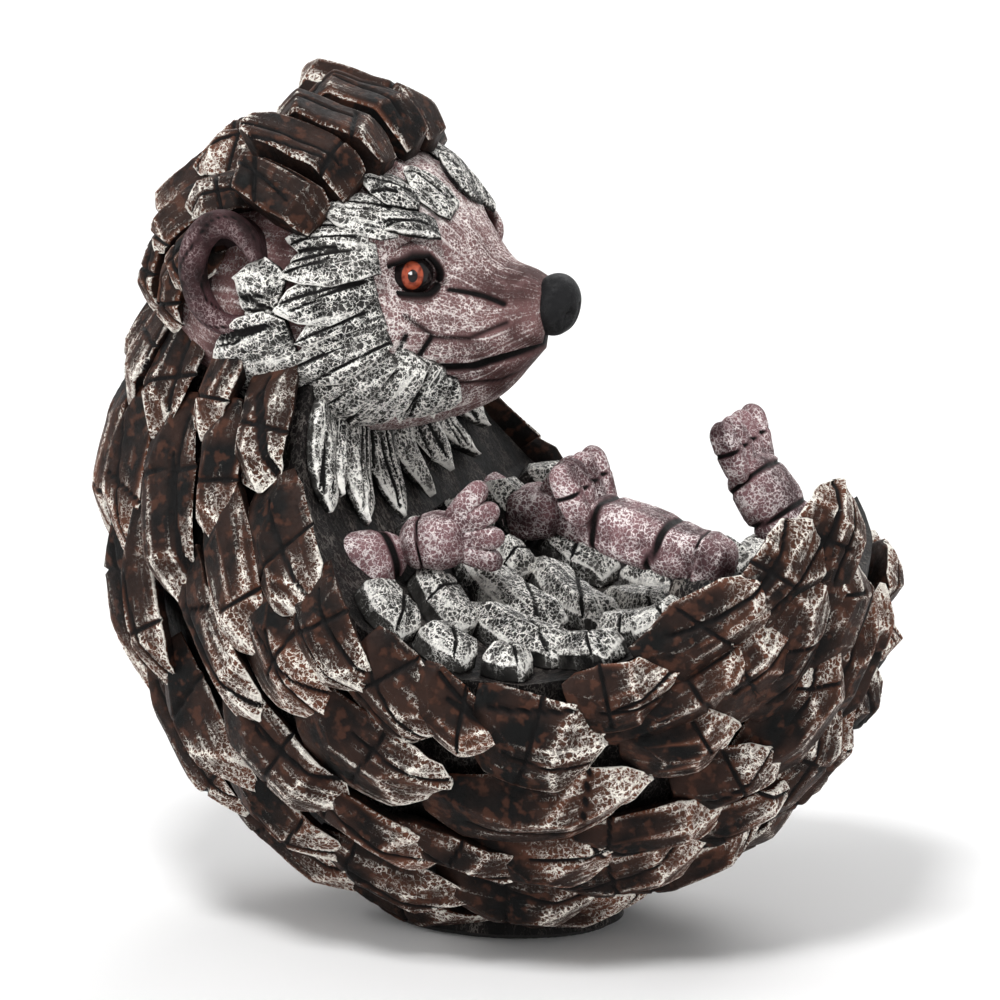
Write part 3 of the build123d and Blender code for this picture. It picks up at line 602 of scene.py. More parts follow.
# %% Lay the rows
def quill_row(name, rows, side, seed):
    """The blocks of one row. On the left the rump is rolled under, so angles past the
    bend grow only half as fast."""
    chance = np.random.default_rng(seed)
    grids = []
    for root, tip, root_side, tip_side, width in rows:
        if side < 0:
            root, tip = (min(a, rump_bend_angle) + max(a - rump_bend_angle, 0)
                         * left_rump_share for a in (root, tip))
        grids.append(block(back_surface, (root, root_side * side), (tip, tip_side * side),
                           (quill_width * width, quill_thickness, quill_lift),
                           quill_style, chance))
    piece(name + "_carved", grids, "quill_paint", [name])


courses = {"rim_quills": rim_quills, "flank_quills": flank_quills,
           "side_quills": side_quills, "back_quills": back_quills,
           "spine_side_quills": spine_side_quills}
for seed, (name, table) in enumerate(courses.items()):
    quill_row(name + "_right", table, 1, 100 + seed)
    quill_row(name + "_left", table, -1, 200 + seed)
quill_row("spine_quills", spine_quills, 1, 300)

# %% [markdown]
# ## The head
#
# The head is a smooth form under the fur: sections across it, blended along its length by
# a cubic curve. The eye sockets, the mouth, the cheek folds and the hair strokes on the
# brow are heights added along the surface's outward direction. A sculptor would cut them
# after the big form, and the code keeps that order.

# %% The head's sections
head_length, head_back = 0.089, -0.077
head_height, head_half_width, head_centre = 0.060, 0.039, 0.146
widest_place = 0.58
skull_centre = np.array([-0.038, 0, head_centre])
skull_size = np.array([0.038, 0.039, 0.031])
# place along the head, then its lowest and highest points and its half width as shares
head_sections = np.array([
    (0.00, -0.16, 0.16, 0.20), (0.06, -0.32, 0.30, 0.55), (0.20, -0.48, 0.44, 0.88),
    (0.43, -0.57, 0.52, 1.00), (0.58, -0.57, 0.48, 0.94), (0.70, -0.53, 0.39, 0.77),
    (0.79, -0.48, 0.26, 0.54), (0.88, -0.40, 0.11, 0.35), (0.96, -0.27, 0.07, 0.25),
    (1.00, -0.20, 0.04, 0.19),
])


def smooth_through(place, places, values):
    """A cubic through each pair of values, with the slope of their neighbours at each."""
    slopes = np.gradient(values, places)
    k = np.clip(np.searchsorted(places, place) - 1, 0, len(places) - 2)
    step = places[k + 1] - places[k]
    t = (place - places[k]) / step
    return ((2 * t ** 3 - 3 * t ** 2 + 1) * values[k] + (t ** 3 - 2 * t ** 2 + t) * step * slopes[k]
            + (3 * t ** 2 - 2 * t ** 3) * values[k + 1] + (t ** 3 - t ** 2) * step * slopes[k + 1])


def head_surface(place, angle):
    """An ellipse across the head at a place along it; the angle runs down from its top."""
    low, high, half = (smooth_through(np.clip(place, 0, 1), head_sections[:, 0],
                                      head_sections[:, k]) for k in (1, 2, 3))
    low, high = head_centre + head_height * low, head_centre + head_height * high
    half = head_half_width * half
    up, side = np.cos(np.radians(angle)), -np.sin(np.radians(angle))
    tall = (high - low) / 2
    point = np.stack([head_back + head_length * place + 0 * side, half * side,
                      (low + high) / 2 + tall * up], -1)
    outward = np.stack([place - widest_place + 0 * side, side / half * tall, up + 0 * half], -1)
    return point, unit(outward)


print("the head runs from x", head_back, "to", round(head_back + head_length, 4))


# %% The skull
def skull_surface(angle, across):
    """An ellipsoid over the skull, from its front over its top to its back."""
    turn, side = np.radians(angle), np.radians(across)
    direction = np.stack([np.cos(turn) * np.cos(side), -np.sin(side),
                          np.sin(turn) * np.cos(side)], -1)
    return skull_centre + direction * skull_size, unit(direction / skull_size)


print("top of the skull:", skull_surface(np.array(90.0), np.array(0.0))[0])


# %% Swellings and strokes
def bump_at(points, centre, spread):
    """1 at a place and falling off round it like a bell, with its own spread each way."""
    return np.exp(-(((points - centre) / spread) ** 2).sum(-1))


def stroke(points, path, half_width):
    """A V-shaped profile seen from the side: 1 on a path of straight lines in x and z,
    and 0 at half_width from it."""
    depth = np.zeros(points.shape[:-1])
    points = points[..., [0, 2]]
    for a, b in zip(np.array(path[:-1]), np.array(path[1:])):
        share = np.clip(((points - a) @ (b - a)) / ((b - a) @ (b - a)), 0, 1)
        away = np.linalg.norm(points - a - share[..., None] * (b - a), axis=-1)
        depth = np.maximum(depth, np.clip(1 - away / half_width, 0, 1))
    return depth


# %% What is cut into the head
eye_centre, eye_radius = np.array([-0.014, 0.019, 0.152]), 0.0054
swellings = (  # height, place and spread: brow, below the eye, cheek, eye socket, lip
    (0.0022, (-0.019, 0.019, 0.161), (0.010, 0.008, 0.005)),
    (0.0012, (-0.012, 0.021, 0.144), (0.009, 0.009, 0.004)),
    (0.0016, (-0.006, 0.015, 0.137), (0.008, 0.008, 0.006)),
    (-0.0066, eye_centre + [0.001, 0.0025, 0], (0.0098, 0.0098, 0.0066)),
    (0.0014, (0.010, 0.006, 0.138), (0.007, 0.008, 0.003)),
)
eye_fold = [(-0.0055, 0.1490), (0.0010, 0.1462), (0.0050, 0.1445)]
lip_fold = [(0.0060, 0.1405), (-0.0010, 0.1375), (-0.0070, 0.1385), (-0.0120, 0.1440)]
chin_fold = [(-0.0060, 0.1270), (0.0030, 0.1262), (0.0100, 0.1290)]
mouth_line = [(-0.0095, 0.1290), (-0.0072, 0.1312), (-0.0010, 0.1306), (0.0070, 0.1326),
              (0.0150, 0.1352)]
cheek_folds = [[(-0.0075 - back, 0.1385 + back * 0.2), (-0.0105 - back, 0.1330 - back * 0.3),
                (-0.0100 - back, 0.1270 - back * 0.5), (-0.0060 - back, 0.1225)]
               for back in (0.0, 0.0042, 0.0085, 0.0130)]
strokes = [(0.9, eye_fold, 0.0010), (0.6, lip_fold, 0.0012), (0.6, chin_fold, 0.0010)]
strokes += [(0.9, fold, 0.0010) for fold in cheek_folds]
fold_depth, mouth_depth, mouth_half_width = 0.0008, 0.0022, 0.0013
fold_gap, fold_fade = 0.001, 0.004  # from the middle line, where the folds begin
hair_height, hairs_round = 0.00030, 26
hair_from, hair_to = 0.45, 0.97
muzzle_start, muzzle_length = -0.016, 0.020
print("strokes cut into each cheek:", len(strokes))


# %% Carve the head
def carved_head():
    """The smooth head plus brow and cheek swellings, minus the sockets, the mouth line,
    the folds and the hair strokes. Both sides are worked out with the side's sign off."""
    place = np.linspace(0, 1, 230)[:, None] ** 0.85
    angle = np.linspace(0, 360, 300, endpoint=False)[None, :]
    points, outward = head_surface(place, angle)
    half = points * [1, 0, 1] + np.abs(points) * [0, 1, 0]
    lift = sum(height * bump_at(half, centre, spread) for height, centre, spread in swellings)
    folds = np.max([share * stroke(half, path, width) for share, path, width in strokes], axis=0)
    folds = folds * np.clip((np.abs(points[..., 1]) - fold_gap) / fold_fade, 0, 1)
    mouth = stroke(half, mouth_line, mouth_half_width)
    bend = 5 * np.sin(place * 17) + 3 * np.sin(np.radians(angle) * 7 + place * 9)
    parting = np.abs(np.sin(np.radians(angle) * hairs_round + bend)) ** 6
    brow = np.clip((hair_to - place) * 8, 0, 1) * np.clip((place - hair_from) * 6, 0, 1)
    lift += (1 - parting) * brow * hair_height - folds * fold_depth - mouth * mouth_depth
    points = points + outward * lift[..., None]
    # painted shade: a broad darkening over the eye socket, and the mouth and folds, all go into the
    # cut mask
    socket = bump_at(half, eye_centre + [0.001, 0.0025, 0.0006], (0.0098, 0.0098, 0.0068))
    dark = np.max([mouth * 1.2, folds * 0.8, 0.42 * socket], axis=0)
    muzzle = np.clip((points[..., 0] - muzzle_start) / muzzle_length, 0, 1)
    return points, {"wear": 0.64 * brow * (1 - 0.75 * muzzle) + 0.12, "cut": dark,
                    "along": 3 * place, "across": np.abs(180 - angle) / 15, "tone": 0.5}


piece("head_carved", [carved_head()], "head_paint", ["head_casting", "lower_jaw"])

# %% [markdown]
# ## The eyes
#
# Each eye is a glossy ball between two thick lids. The iris could be an image wrapped on
# the ball, but rings round the way that the eye looks need no unwrapping and stay sharp.
# Each lid is a shell along an arc, so a few heights set how wide the eye is open.

# %% A ball
def ball(centre, size, rows, columns, dent=None):
    """An ellipsoid as rings from pole to pole, with an optional dent along its radius."""
    level = np.linspace(-89, 89, rows)[:, None] * math.pi / 180
    turn = np.linspace(0, 2 * math.pi, columns, endpoint=False)[None, :]
    direction = np.stack([np.cos(level) * np.cos(turn), np.cos(level) * np.sin(turn),
                          np.sin(level) + 0 * turn], -1)
    depth = 0 if dent is None else dent(direction)
    return np.array(centre) + direction * np.array(size) * (1 - np.asarray(depth)[..., None])


print("points of a small ball:", ball([0, 0, 0], [1, 1, 1], 5, 8).shape)


# %% The eye's paint
pupil_edge, iris_edge = (0.24, 0.28), (0.53, 0.60)  # where each colour begins and ends to blend


def eye_paints():
    """Rings round the way that each eye looks: a dark pupil, the iris and a dark ball, all
    glossy, with one painted glint."""
    material, tree = new_material("eye_paint")
    turned = wire(tree, "Attribute", attribute_name="wear").outputs["Fac"]
    here = wire(tree, "TexCoord").outputs["Object"]
    grain = noise(tree, here, 900.0, 3.0).outputs[0]
    iris = blend_colours(tree, ramp(tree, grain, 0.35, 0.65), (0.20, 0.030, 0.014, 1),
                         (0.42, 0.085, 0.040, 1))
    dark = (0.012, 0.009, 0.009, 1)
    colour = blend_colours(tree, ramp(tree, turned, *pupil_edge), dark, iris)
    colour = blend_colours(tree, ramp(tree, turned, *iris_edge), colour, dark)
    glint = wire(tree, "Attribute", attribute_name="tone").outputs["Fac"]
    colour = blend_colours(tree, ramp(tree, glint, 0.4, 0.6), colour, (0.8, 0.8, 0.8, 1))
    shader = wire(tree, "BsdfPrincipled", {"Base Color": colour, "Roughness": 0.12,
                                           "Specular IOR Level": 0.2})
    wire(tree, "OutputMaterial", {"Surface": shader.outputs[0]})
    return material


paints["eye_paint"] = eye_paints()
print("paints:", sorted(paints))

# %% The eyeball
ball_share = 0.99  # of the eye's radius, so that the lids' inner skin is clear of it
eye_aim, ring_shape = (0.50, 0.86, 0.05), (0.80, 1.05)
glint_place, glint_radius = (0.10, 0.12), 0.075


def eyeball(side):
    """A ball whose wear mask is the distance from the way that it looks, counted on an
    ellipse, and over 2 on its back half. Its tone mask is 1 on the glint."""
    centre = eye_centre * [1, side, 1]
    points = ball(centre, [eye_radius * ball_share] * 3, 90, 120)
    aim = unit(np.array(eye_aim) * [1, side, 1])
    out = unit(points - centre)
    level = unit(np.cross(aim, [0, 0, 1.0]))
    upright = np.cross(level, aim)
    ring = np.hypot((out @ level) / ring_shape[0], (out @ upright) / ring_shape[1])
    ring = ring + (out @ aim < 0) * 2
    glint = np.hypot(out @ level + glint_place[0] * side, out @ upright - glint_place[1])
    return points, {"wear": ring, "tone": (glint < glint_radius) & (out @ aim > 0)}


print("eyeballs are", round(2000 * eye_radius * ball_share, 1), "mm wide")

# %% The lids
lid_turns, lid_half_height = [-100, -55, 0, 50, 100], 26
lid_radius, lid_half_thickness = 1.27, 0.22  # in radii of the eye
lid_spread, lid_swing = 0.86, 30
# the lid line's height at each turn, where the lid's middle is from it, and which way it opens
lids = {"upper": ([-23, 12, 36, 30, -31], 27, -1), "lower": ([-2, -20, -29, -28, -10], -26, 1)}


def lid(side, name):
    """A shell outside the eyeball. Its inner edge is the lid line, an arc that rises or
    drops between the corners, and its outer edge runs back into the socket."""
    centre = eye_centre * [1, side, 1]
    turn = np.linspace(lid_turns[0], lid_turns[-1], 60)[:, None]
    ring = np.linspace(0, 2 * math.pi, 24, endpoint=False)[None, :]
    edges, from_edge, opens = lids[name]
    middle = np.interp(turn, lid_turns, edges) + from_edge
    taper = np.interp(turn, lid_turns[::2], [0.6, 1, 0.6])
    height = np.radians(middle + lid_half_height * np.sin(ring) * taper)
    radius = eye_radius * (lid_radius + lid_half_thickness * np.cos(ring))
    spin = np.radians(turn * lid_spread + lid_swing)
    direction = np.stack([np.sin(spin) * np.cos(height), np.cos(spin) * np.cos(height) * side,
                          np.sin(height) + 0 * spin], -1)
    # painted shade: the lid's edge along the eyeball is darkened through the cut mask
    edge = np.clip(opens * np.sin(ring) - 0.2, 0, 1)
    mask = {"wear": 0.45 * np.clip(np.cos(ring), 0, 1), "cut": 0.8 * edge, "along": 0.7,
            "tone": 0.5}
    return centre + direction * radius[..., None], mask


for side, name in ((-1, "right"), (1, "left")):
    piece("eye_ball_" + name, [eyeball(side)], "eye_paint", ["eye_" + name])
    piece("eye_lids_" + name, [lid(side, "upper"), lid(side, "lower")], "head_paint")

# %% [markdown]
# ## The nose
#
# The nose is a dark bead with two comma-shaped nostrils and a seam between them. They
# could be cut out with other solids, but dents in the bead's own radius keep the soft
# edges of a casting.

# %% A bead with dents
nose_centre, nose_size, nose_lean = [0.0135, 0.0, 0.143], [0.0056, 0.0062, 0.0072], 12
nostril_depth, seam_depth = 0.28, 0.07  # shares of the nose's own size


def nostrils(direction):
    """Two comma-shaped dents on the front and a groove down the middle."""
    side = np.abs(direction[..., 1])
    hole = np.exp(-((side - 0.50) / 0.17) ** 2 - ((direction[..., 2] + 0.15) / 0.26) ** 2)
    seam = np.exp(-(side / 0.07) ** 2) * (direction[..., 2] < 0.3)
    return (nostril_depth * hole + seam_depth * seam) * (direction[..., 0] > 0)


nose = ball([0, 0, 0], nose_size, 80, 96, nostrils)
lean = math.radians(nose_lean)
nose = np.stack([nose[..., 0] * math.cos(lean) + nose[..., 2] * math.sin(lean), nose[..., 1],
                 nose[..., 2] * math.cos(lean) - nose[..., 0] * math.sin(lean)], -1) + nose_centre
piece("nose_carved", [(nose, {"wear": 0.1})], "nose_paint", ["nose_pad"])

# %% [markdown]
# ## The ears
#
# An ear is a thick rolled rim round a shallow cup, open towards the cheek. It could be
# sculpted from a lump, but a roll carried along an open curve gives the shape at once,
# and how thick the roll is at each place is one short table.

# %% The rim
ear_centre, ear_height = np.array([-0.049, 0.0, 0.153]), 0.0138
ear_half_length, ear_out, top_out = 0.0100, 0.0405, 0.0015
roll_radius, roll_thin, roll_inset = 0.0044, 0.8, 0.0020
roll_start, roll_sweep = 20, 285  # degrees up from straight ahead
winding_gap, winding_half_width, winding_depth = 2.1, 0.16, 0.10
roll_places = [0, 0.08, 0.35, 0.75, 0.93, 1]
roll_shares = [0.45, 0.75, 1, 0.85, 0.6, 0.25]


def ear_rim(side):
    """A thick tapering roll along an open curve, like a question mark, with a few bends
    and grooves that wind along it."""
    share = np.linspace(0, 1, 90)[:, None]
    ring = np.linspace(0, 2 * math.pi, 28, endpoint=False)[None, :]
    turn = np.radians(roll_start + roll_sweep * share)
    out = np.stack([np.cos(turn), 0 * turn, np.sin(turn)], -1)
    middle = np.stack([ear_half_length * np.cos(turn),
                       (ear_out + top_out * np.sin(turn)) * side,
                       ear_height * np.sin(turn)], -1) + ear_centre
    thick = roll_radius * np.interp(share, roll_places, roll_shares)
    thick = thick * (1 + 0.05 * np.cos(3 * ring + share * 9)) * roll_thin
    inward = out * (np.cos(ring) * thick)[..., None]
    rise = np.array([0.0, side, 0.0]) * (np.sin(ring) * thick)[..., None]
    winding = (ring + 0.7 * np.sin(share * 12)) % winding_gap
    # painted shade: the winding grooves are darkened through the cut mask as well as sunk
    dark = np.clip(1 - np.abs(winding - 1.0) / winding_half_width, 0, 1)
    dark = dark * np.interp(share, [0, 0.1, 0.9, 1], [0, 1, 1, 0])
    points = middle - out * roll_inset + inward * (1 - winding_depth * dark[..., None]) + rise
    return points, {"wear": np.clip(np.sin(ring), 0, 1) * 0.30, "cut": dark * 0.7,
                    "along": share, "tone": 0.5}


print("the rim is about", round(2000 * roll_radius * roll_thin), "mm thick")

# %% The cup
cup_half_length, cup_half_height = 0.0085, 0.0120
cup_out, cup_depth, cup_thickness = 0.0335, 0.0060, 0.0060


def ear_hollow(side):
    """A shallow cup inside the rim: an oval bowl whose depth is its radius squared."""
    radius = np.linspace(0.02, 1, 40)[:, None]
    turn = np.linspace(0, 2 * math.pi, 64, endpoint=False)[None, :]
    front = np.stack([cup_half_length * radius * np.cos(turn),
                      (cup_out + cup_depth * radius ** 2 + 0 * turn) * side,
                      cup_half_height * radius * np.sin(turn)], -1) + ear_centre
    back = front[::-1] - np.array([0, cup_thickness * side, 0])
    # painted shade: the whole cup is darkened a little through the cut mask
    return np.concatenate([front, back]), {"wear": 0.0, "cut": 0.35}


for side, name in ((-1, "right"), (1, "left")):
    piece("ear_carved_" + name, [ear_rim(side), ear_hollow(side)], "ear_paint", ["ear_" + name])

# %% [markdown]
# ## Fur, crown and belly
#
# Fur leaves run back from the muzzle over each cheek, slabs stand in a tuft on the crown,
# and long stones fill the belly's hollow. The fur could be strands of hair, but on the
# ornament it is carved as leaves. So all three are the same blocks as the quills, with
# other cuts: fur is combed along its length, slabs have flat faces and stones blunt ends.

# %% How fur is cut
def fur_planes(chance):
    """Two slopes from a ridge, a flat crown and one slanted cut near the tip."""
    ridge, slope = chance.uniform(-0.3, 0.3), chance.uniform(0.4, 0.9, 2)
    return [(1.05 - slope[0] * ridge, 0, slope[0]), (1.05 + slope[1] * ridge, 0, -slope[1]),
            (chance.uniform(0.8, 1.0), 0.05, chance.uniform(-0.1, 0.1)), (0.55, 1.3, 0),
            (2.3, -1.9, chance.uniform(-0.4, 0.4))]


def fur_cuts(chance, length, width):
    """Two to four lines combed along the leaf."""
    starts = chance.uniform(-0.42, 0.42, chance.integers(2, 5)) * width
    return [(length * chance.uniform(0, 0.5), a * 0.8, length * chance.uniform(0.8, 1.1),
             a + chance.uniform(-0.12, 0.12) * width) for a in starts]


fur_style = {
    "rows": 40, "columns": 22, "walls": 3, "foot": 0.95, "wobble": 0.08,
    "outline": (np.array([0, 0.2, 0.5, 0.8, 1.0]), np.array([0.62, 0.92, 1.0, 0.62, 0.06])),
    "underside": ([0, 0.6, 1.0], [0, 0.15, 1.0]), "planes": fur_planes, "cuts": fur_cuts,
    "cut_half": 0.0005, "cut_depth": 0.0007, "wear": [0.35, 0.45, 0.75, 1.0],
}
print("a leaf of fur is combed", fur_style["cut_depth"] * 1000, "mm deep")


# %% How slabs are cut
def slab_planes(chance):
    """A nearly flat top that falls to one side and steep ends."""
    return [(0.98, 0.05, chance.uniform(-0.12, 0.12)), (1.5, 0.0, chance.choice([-0.8, 0.8])),
            (0.45, 2.2, chance.uniform(-0.2, 0.2)), (chance.uniform(3.2, 4.5), -3.4, 0.2)]


slab_style = {
    "rows": 44, "columns": 22, "walls": 16, "foot": 0.80, "wobble": 0.06,
    "outline": (np.array([0, 0.15, 0.5, 0.85, 1.0]), np.array([0.70, 0.92, 1.0, 0.85, 0.35])),
    "underside": ([0, 0.5, 1.0], [0, 0.15, 1.0]), "planes": slab_planes, "cuts": quill_cuts,
    "cut_half": 0.0006, "cut_depth": 0.0010, "wear": [0.55, 0.35, 0.45, 0.75],
}
print("a slab's cuts are", slab_style["cut_depth"] * 1000, "mm deep")


# %% How stones are cut
def stone_planes(chance):
    """A lumpy stone: a flat crown with four bevels round it."""
    bevel = chance.uniform(0.7, 1.3, 4)
    return [(0.98, chance.uniform(-0.12, 0.12), chance.uniform(-0.12, 0.12)),
            (0.45, 3 * bevel[0], 0.2), (0.45 + 3 * bevel[1], -3 * bevel[1], -0.2),
            (0.55 + bevel[2], 0, bevel[2]), (0.55 + bevel[3], 0, -bevel[3])]


def stone_cuts(chance, length, width):
    """One slanting crack."""
    return [(chance.uniform(0.1, 0.5) * length, -0.5 * width,
             chance.uniform(0.5, 1.0) * length, 0.5 * width)]


stone_style = {
    "rows": 34, "columns": 24, "walls": 8, "foot": 1.0, "wobble": 0.12,
    "outline": (np.array([0, 0.12, 0.5, 0.88, 1.0]), np.array([0.62, 0.86, 1.0, 0.9, 0.55])),
    "underside": ([0, 1], [0, 0]), "planes": stone_planes, "cuts": stone_cuts,
    "cut_half": 0.0006, "cut_depth": 0.0010, "wear": [0.6, 0.5, 0.5, 0.6],
}
print("a stone's crack is", stone_style["cut_depth"] * 1000, "mm deep")

# %% The tables of fur, slabs and stones
# root's place and side, tip's place and side, width, and height where a row has a sixth
face_fur = np.array([
    (0.77, 16, 0.65, 17, 0.62), (0.71, 26, 0.57, 30, 0.62), (0.76, 34, 0.63, 47, 0.55),
    (0.69, 43, 0.52, 48, 0.62), (0.64, 54, 0.46, 62, 0.66), (0.67, 61, 0.46, 75, 0.66),
    (0.67, 71, 0.45, 88, 0.66), (0.46, 82, 0.34, 78, 0.80), (0.69, 83, 0.50, 99, 0.62),
    (0.49, 98, 0.27, 112, 0.90), (0.70, 91, 0.46, 113, 0.72), (0.52, 117, 0.30, 131, 0.90),
    (0.70, 100, 0.43, 134, 0.80), (0.72, 105, 0.51, 143, 0.78), (0.75, 102, 0.60, 140, 0.74),
    (0.78, 106, 0.69, 141, 0.68), (0.80, 116, 0.76, 142, 0.58),
])
chest_fur = np.array([
    (184, -0.82, 207, -0.88, 0.75), (184, -0.60, 205, -0.74, 0.70), (184, -0.36, 214, -0.58, 0.82),
    (184, -0.12, 217, -0.27, 0.82), (184, 0.09, 216, 0.03, 0.80), (184, 0.32, 213, 0.31, 0.80),
    (184, 0.56, 213, 0.57, 0.80), (184, 0.80, 208, 0.82, 0.75),
])
belly_stones = np.array([
    (234, -0.10, 266, -0.34, 0.92), (246, 0.20, 276, -0.20, 0.90), (247, -0.42, 279, -0.72, 0.98),
    (269, 0.08, 299, -0.28, 1.00), (232, -0.44, 250, -0.66, 0.90), (279, -0.38, 297, -0.56, 0.85),
    (277, -0.70, 293, -0.92, 0.90), (227, -0.82, 243, -0.90, 0.85), (245, -0.84, 259, -0.92, 0.80),
    (262, -0.88, 273, -0.92, 0.80), (295, -0.72, 309, -0.84, 0.85), (219, -0.24, 230, -0.28, 0.90),
    (219, 0.10, 232, 0.08, 0.90), (236, 0.14, 246, 0.06, 0.70), (220, 0.46, 237, 0.44, 0.95),
    (222, 0.82, 238, 0.84, 0.90), (240, 0.48, 260, 0.42, 0.95), (241, 0.84, 262, 0.86, 0.90),
    (264, 0.46, 285, 0.38, 1.00), (266, 0.84, 286, 0.82, 0.90), (289, 0.38, 308, 0.34, 0.95),
    (290, 0.80, 308, 0.76, 0.90), (302, -0.06, 319, -0.10, 0.95),
])
crown_quills = np.array([
    (63, 3, 108, 2, 1.00, 1.12), (64, 20, 105, 16, 1.00, 1.02), (66, 37, 108, 29, 1.00, 0.97),
    (69, 54, 110, 44, 1.05, 0.90), (63, -14, 108, -12, 1.00, 1.10), (65, -31, 108, -25, 1.00, 1.00),
    (68, -48, 111, -38, 1.00, 0.92), (73, -64, 116, -54, 1.00, 0.85),
])
nape_quills = np.array([
    (104, 0, 138, 0, 1.20, 0.95), (102, 22, 137, 19, 1.20, 0.95),
    (104, 44, 142, 38, 1.15, 0.80), (102, -22, 137, -19, 1.20, 0.95),
    (104, -44, 142, -38, 1.15, 0.80), (104, -64, 148, -60, 1.00, 0.70),
    (128, 11, 165, 11, 1.25, 0.90), (128, 33, 168, 32, 1.20, 0.80),
    (134, 55, 176, 54, 1.10, 0.75), (128, -11, 165, -11, 1.25, 0.90),
    (128, -33, 168, -32, 1.20, 0.80), (134, -55, 176, -54, 1.10, 0.75),
    (154, 0, 192, 0, 1.25, 0.85), (156, 23, 195, 24, 1.25, 0.80),
    (162, 44, 202, 46, 1.20, 0.75), (156, -23, 195, -24, 1.25, 0.80),
    (162, -44, 202, -46, 1.20, 0.75),
])
print("leaves on a cheek", len(face_fur), "and the chest", len(chest_fur), "stones",
      len(belly_stones), "slabs", len(crown_quills), "and quills behind them", len(nape_quills))


# %% Lay them
def lay(name, table, surface, turns, size, style, slot, seed):
    """One node's blocks. The turns flip the side of both ends, and the size is the width,
    height and lift of a block whose shares are 1."""
    chance = np.random.default_rng(seed)
    grids = []
    for row in table:
        root, tip = row[:2] * turns, row[2:4] * turns
        tall = row[5] if len(row) > 5 else 1
        sizes = size[0] * row[4], size[1] * tall, size[2] * tall
        grids.append(block(surface, root, tip, sizes, style, chance))
    piece(name + "_carved", grids, slot, [name])


for name, sign, seed in (("face_fur_right", 1, 11), ("face_fur_left", -1, 12)):
    lay(name, face_fur, head_surface, [1, sign], (0.0185, 0.0034, 0.0010), fur_style,
        "fur_paint", seed)
lay("chest_fur", chest_fur, belly_surface, [1, 1], (0.0175, 0.0040, 0.0015), fur_style,
    "fur_paint", 13)
lay("belly_blocks", belly_stones, belly_surface, [1, 1], (0.0116, 0.0080, 0), stone_style,
    "fur_paint", 14)
lay("crown_quills", crown_quills, skull_surface, [1, 1], (0.0125, 0.0104, 0.0054), slab_style,
    "quill_paint", 15)
lay("nape_quills", nape_quills, skull_surface, [1, 1], (0.0125, 0.0080, 0.0050), quill_style,
    "quill_paint", 16)

# %% [markdown]
# ## Arms, legs and feet
#
# Each limb is a set of thick tubes along a path: the arm or the leg, the palm or the sole,
# and short fat digits. Their sections are soft squares with a few flats, and creases run
# across the joints. They could be sculpted in one, but the overlaps between them become
# the deep grooves that the fingers have.

# %% A chunky tube
cap_share, wave_height, crease_depth, crease_half_width = 0.22, 0.035, 0.13, 0.028


def tube(path, radii, flat=1.0, seed=0, creases=(), rows=44, columns=36):
    """Soft-square sections, where the cubes of both shares add up to 1, round a smooth path
    with round caps. A crease is a V at a share of its length, and slow waves cut flats into
    the skin."""
    chance = np.random.default_rng(seed)
    path, radii = np.array(path, float), np.array(radii, float)
    knots = np.concatenate([[0], np.cumsum(np.linalg.norm(np.diff(path, axis=0), axis=1))])
    knots = knots / knots[-1]
    share = (1 - np.cos(np.linspace(0, math.pi, rows)[:, None])) / 2
    middle = np.stack([smooth_through(share, knots, path[:, k]) for k in range(3)], -1)
    radius = np.interp(share, knots, radii)
    from_end = np.clip(np.stack([share, 1 - share]), 0, cap_share) / cap_share
    cap = np.sqrt(np.clip(1 - (1 - from_end) ** 2, 0.002, 1)).prod(0)
    ahead = unit(np.gradient(middle[:, 0], axis=0))[:, None]
    across = unit(np.cross(ahead, [0, 1.0, 0]))
    depth = unit(np.cross(across, ahead))
    turn = np.linspace(0, 2 * math.pi, columns, endpoint=False)[None, :]
    square = (np.abs(np.cos(turn)) ** 3 + np.abs(np.sin(turn)) ** 3) ** (-1 / 3)
    wave = sum(wave_height * np.abs(np.sin(k * turn + chance.uniform(0, 6)
                                           + 5 * share * chance.uniform()))
               for k in (1.5, 2.5, 3.5))
    dark = 0 * share * turn
    for place in creases:
        away = np.abs(share - place + 0.03 * np.sin(turn + place * 9))
        dark = dark + np.clip(1 - away / crease_half_width, 0, 1)
    size = radius * cap * square * (1 - wave + 0.05) * (1 - crease_depth * dark)
    points = (middle + depth * (np.cos(turn) * size)[..., None]
              + across * (np.sin(turn) * size * flat)[..., None])
    wear = np.clip((size / radius - 0.95) * 2.2, 0, 1) * 0.7 + 0.12
    # painted shade: the creases are darkened through the cut mask as well as sunk
    return points, {"wear": wear, "cut": np.clip(dark, 0, 1), "along": share,
                    "tone": chance.uniform()}


# %% Places on the body
def body_spot(shares, side=1, drop=0.0):
    """A place as shares of the body's radius and half width, from its centre."""
    x, y, z = shares
    return np.array([body_radius * x, body_half_width * y * side,
                     body_centre_height + body_radius * z - drop])


print("the widest place of the body:", body_spot((0, 1, 0)))

# %% Arms
elbow_share = (-0.36, 0.70, -0.10)
wrist_share, palm_share = (-0.11, 0.48, -0.01), (-0.04, 0.45, 0.01)
upper_arm, arm_radii, arm_creases = 0.017, [0.0084, 0.0080, 0.0060], (0.42, 0.66, 0.88)
palm_start, palm_end = [-0.002, 0, 0], [0.0080, 0, 0.0006]  # from the wrist and the palm
palm_radii, palm_flat, palm_creases = [0.0058, 0.0076, 0.0060], 0.85, (0.3,)
fingers = ((52, 0.32), (28, 0.34), (6, 0.30), (-18, 0.12))  # lean, and spread of the roots
finger_root, finger_row, finger_inward = 0.0030, 0.015, 0.12
finger_joint, finger_length, finger_radii = 0.0065, 0.0128, [0.0027, 0.0030, 0.0024]


